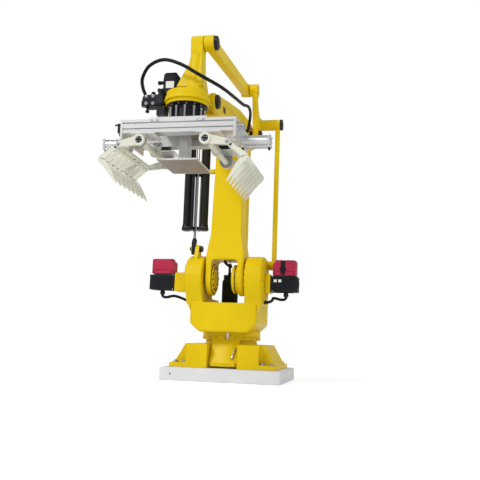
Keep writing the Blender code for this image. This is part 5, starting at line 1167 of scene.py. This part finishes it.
class RobotGripper(bpy.types.Operator):
    """Fingers, jaw hubs, rail ends, cylinders and fittings of the gripper"""
    bl_idname = "robot.gripper"
    bl_label = "Gripper"

    def execute(self, context):
        for side, word in HANDS:
            jaw = PIVOTS[word + "_jaw_swing"]
            self.comb(side, word, jaw)
            self.bearings(word, jaw)
            self.cylinder(side, word, jaw)
        self.rails()
        self.stop()
        self.rail_ends()
        return {"FINISHED"}

    def comb(self, side, word, jaw):
        """The fingers of one jaw with the strip and bolts that hold them, and its hubs with a black disc in each
        hub's recess as painted shade.
        """
        size, middle, body = sizes(), PIVOTS["tool_turn"].y, word + "_jaw"
        pitch = (2 * COMB_HALF - size.finger) / (size.fingers - 1)
        comb, strip, bolts, hubs, faces = (bmesh.new() for _ in range(5))
        for index in range(size.fingers):
            tine(comb, side, jaw, middle - COMB_HALF + index * pitch, size.finger)
        piece(word + "_tines", comb, body, IVORY, replaced=(word + "_fingers",))
        bar = jaw + Vector((side * BAR_END.x, 0, BAR_END.y))
        out = Vector((side * STRIP_WAY[0], 0, STRIP_WAY[1]))
        centre = bar + out * STRIP_OUT
        half = Vector((STRIP_THIN, COMB_HALF, STRIP_WIDE))
        made = box(strip, -half, half)
        turn = Matrix.Rotation(side * math.radians(STRIP_TILT), 4, "Y")
        bmesh.ops.transform(strip, verts=made, matrix=Matrix.Translation(
            (centre.x, middle, centre.z)) @ turn)
        piece(word + "_tine_strip", strip, body, IVORY)
        for index in range(size.fingers - 1):
            y = middle - COMB_HALF + (index + 0.5) * pitch + size.finger / 2
            hex_bolt(bolts, Vector((centre.x, y, centre.z)) + out * STRIP_THIN, out,
                     HEADS["tine_strip"])
        for end in SIDES:
            hub = Vector((jaw.x, middle + end * JAW_END, jaw.z))
            bolt_circle(bolts, "jaw_hub", hub + Y * end * HUB_STEP, Y * end, HEADS["jaw_hub"])
            hex_bolt(bolts, (bar.x, hub.y, bar.z), Y * end, HEADS["jaw_bar"])
            turned(hubs, "jaw_hub", hub, Y * end)
            # A black disc in each hub's recess: painted shade inside the ring
            turned(faces, "jaw_bearing", hub, Y * end)
        piece(word + "_jaw_bolts", bolts, body, ZINC)
        piece(word + "_jaw_hubs", hubs, body, IVORY)
        piece(word + "_jaw_bearings", faces, body, BLACK)

    def bearings(self, word, jaw):
        """The plates that carry one jaw's shaft under the rails."""
        middle = PIVOTS["tool_turn"].y
        caps, legs, blocks = bmesh.new(), bmesh.new(), bmesh.new()
        shaft = Vector((jaw.x, middle, jaw.z))
        for end in SIDES:
            block(caps, "bearing_cap", shaft, shaft, (1, end, 1))
            bearing_leg(legs, jaw, middle + end * LEG_OUTER, middle + end * LEG_INNER)
            block(blocks, "rail_block", shaft, shaft, (1, end, 1))
        # The legs take a grey darkened as painted shade, as they sit in shade under the rails
        piece(word + "_bearing_legs", legs, "tool", BLASTED_IN_SHADE, replaced=(word + "_hanger",))
        piece(word + "_bearing_caps", caps, "tool", SATIN)
        piece(word + "_rail_blocks", blocks, "tool", CAST)

    def cylinder(self, side, word, jaw):
        """End cap, tie rods and ports of one jaw's cylinder, and the screws beside it."""
        low, high = outward(word + "_cylinder", side)
        inner = side * CYLINDER_INNER
        end = Vector((high.x, CYLINDER_Y, jaw.z + CYLINDER_RISE))
        turned_piece(word + "_cylinder_end", "tool", SATIN, end, X * side)
        ties, ports, screws = bmesh.new(), bmesh.new(), bmesh.new()
        for dy in SIDES:
            for dz in SIDES:
                place = end + Vector((0, dy * TIE_OUT, dz * TIE_OUT))
                turned(ties, "cylinder_tie", beside(place, inner + side * TIE_INSET), X * side)
                cap_screw(ties, place, X * side, HEADS["cylinder"])
        piece(word + "_cylinder_ties", ties, "tool", BRIGHT)
        for x in (inner + side * PORT_INSET, high.x - side * PORT_INSET):
            port = Vector((x, end.y, end.z - PORT_DROP))
            turned(ports, "port_stub", port, -Z)
            turned(ports, "port_elbow", at(port, 0, 0, -12), -Y)
        piece(word + "_cylinder_ports", ports, "tool", RUBBER)
        shaft = Vector((jaw.x, PIVOTS["tool_turn"].y, jaw.z))
        for y in (-255, -205, 205, 255):
            for x in (-35, 35):
                cap_screw(screws, at(shaft, x, y, 47.5), -Z, HEADS["hanger"])
        piece(word + "_hanger_screws", screws, "tool", ZINC)

    def rails(self):
        """The two rails, the small plates on their faces and their screws."""
        middle = PIVOTS["tool_turn"].y
        plates, screws = bmesh.new(), bmesh.new()
        for name, way in (("front_rail", -1), ("rear_rail", 1)):
            low, high = corners(name)
            outer = low.y if way < 0 else high.y
            profile = bmesh.new()
            rail_profile(profile, low.x, high.x, outer, -way * (high.y - low.y), high.z)
            piece(name + "_profile", profile, "tool", SATIN, replaced=(name,))
            for x in RAIL_PLATE_X:
                edge = Vector((x, outer, high.z))
                block(plates, f"{name}_plate", edge, edge)
                for dx in (-18, 18):
                    cap_screw(screws, at(edge, dx, way * 4, -12.5), Y * way, HEADS["rail_plate"])
            for x in RAIL_BOLT_X:
                hex_bolt(screws, (x, (low.y + high.y) / 2, high.z), Z, HEADS["rail"])
        for x in PLATE_BOLT_X:
            for y in (middle - PLATE_BOLT_Y, middle + PLATE_BOLT_Y):
                hex_bolt(screws, (x, y, PLATE_TOP), Z, HEADS["plate"])
        piece("rail_plates", plates, "tool", SATIN)
        piece("rail_screws", screws, "tool", ZINC)

    def stop(self):
        """The casing of the stop plate's post, and rims in a bright finish along the plate's edges as a painted
        highlight.
        """
        spot = Y * PIVOTS["tool_turn"].y
        block_piece("post_casing", "tool", SATIN, spot, spot)
        # Rims in a bright finish: a painted highlight along the plate's edges
        edges = bmesh.new()
        for word in ("front", "rear", "left", "right"):
            block(edges, f"stop_{word}_edge", *corners("stop_plate"))
        piece("stop_plate_edges", edges, "tool", SATIN)

    def rail_ends(self):
        """The bracket with its lever on the left end of the rails, the fittings on the right."""
        spot = Y * PIVOTS["tool_turn"].y
        plate, fittings = bmesh.new(), bmesh.new()
        block(plate, "end_plate", spot, spot)
        block(plate, "end_foot", spot, spot)
        sweep(plate, curve_points(route("end_lever", spot), 4), LEVER_RADIUS, 12)
        piece("rail_end_plate", plate, "tool", BLACK)
        for place in ((405.2, -170, 1800), (405.2, -120, 1792)):
            turned(fittings, "rail_end_fitting", at(spot, *place), X)
        piece("rail_end_fittings", fittings, "tool", BRIGHT)


class RobotPanel(bpy.types.Panel):
    """Lists the steps that dress the robot"""
    bl_idname = "VIEW3D_PT_robot_finish"
    bl_label = "Palletising robot"
    bl_space_type = "VIEW_3D"
    bl_region_type = "UI"
    bl_category = "Robot"

    def draw(self, context):
        for step in STEPS:
            self.layout.operator(step.bl_idname)
        for group in (context.scene.robot_sizes, context.scene.robot_colours):
            for name in group.__annotations__:
                self.layout.prop(group, name)


STEPS = (RobotStage, RobotFinishes, RobotBase, RobotShoulder, RobotArms, RobotBalancer,
         RobotWrist, RobotGripper)
CLASSES = (RobotSizes, RobotColours, *STEPS, RobotPanel)


def register():
    """Adds the classes and the panel's settings."""
    for item in CLASSES:
        bpy.utils.register_class(item)
    bpy.types.Scene.robot_sizes = bpy.props.PointerProperty(type=RobotSizes)
    bpy.types.Scene.robot_colours = bpy.props.PointerProperty(type=RobotColours)


def unregister():
    """Takes the classes and the settings away again."""
    del bpy.types.Scene.robot_colours
    del bpy.types.Scene.robot_sizes
    for item in reversed(CLASSES):
        bpy.utils.unregister_class(item)


def main():
    """Runs every step in order."""
    register()
    for step in STEPS:
        group, name = step.bl_idname.split(".")
        getattr(getattr(bpy.ops, group), name)()


if __name__ == "__main__":
    main()
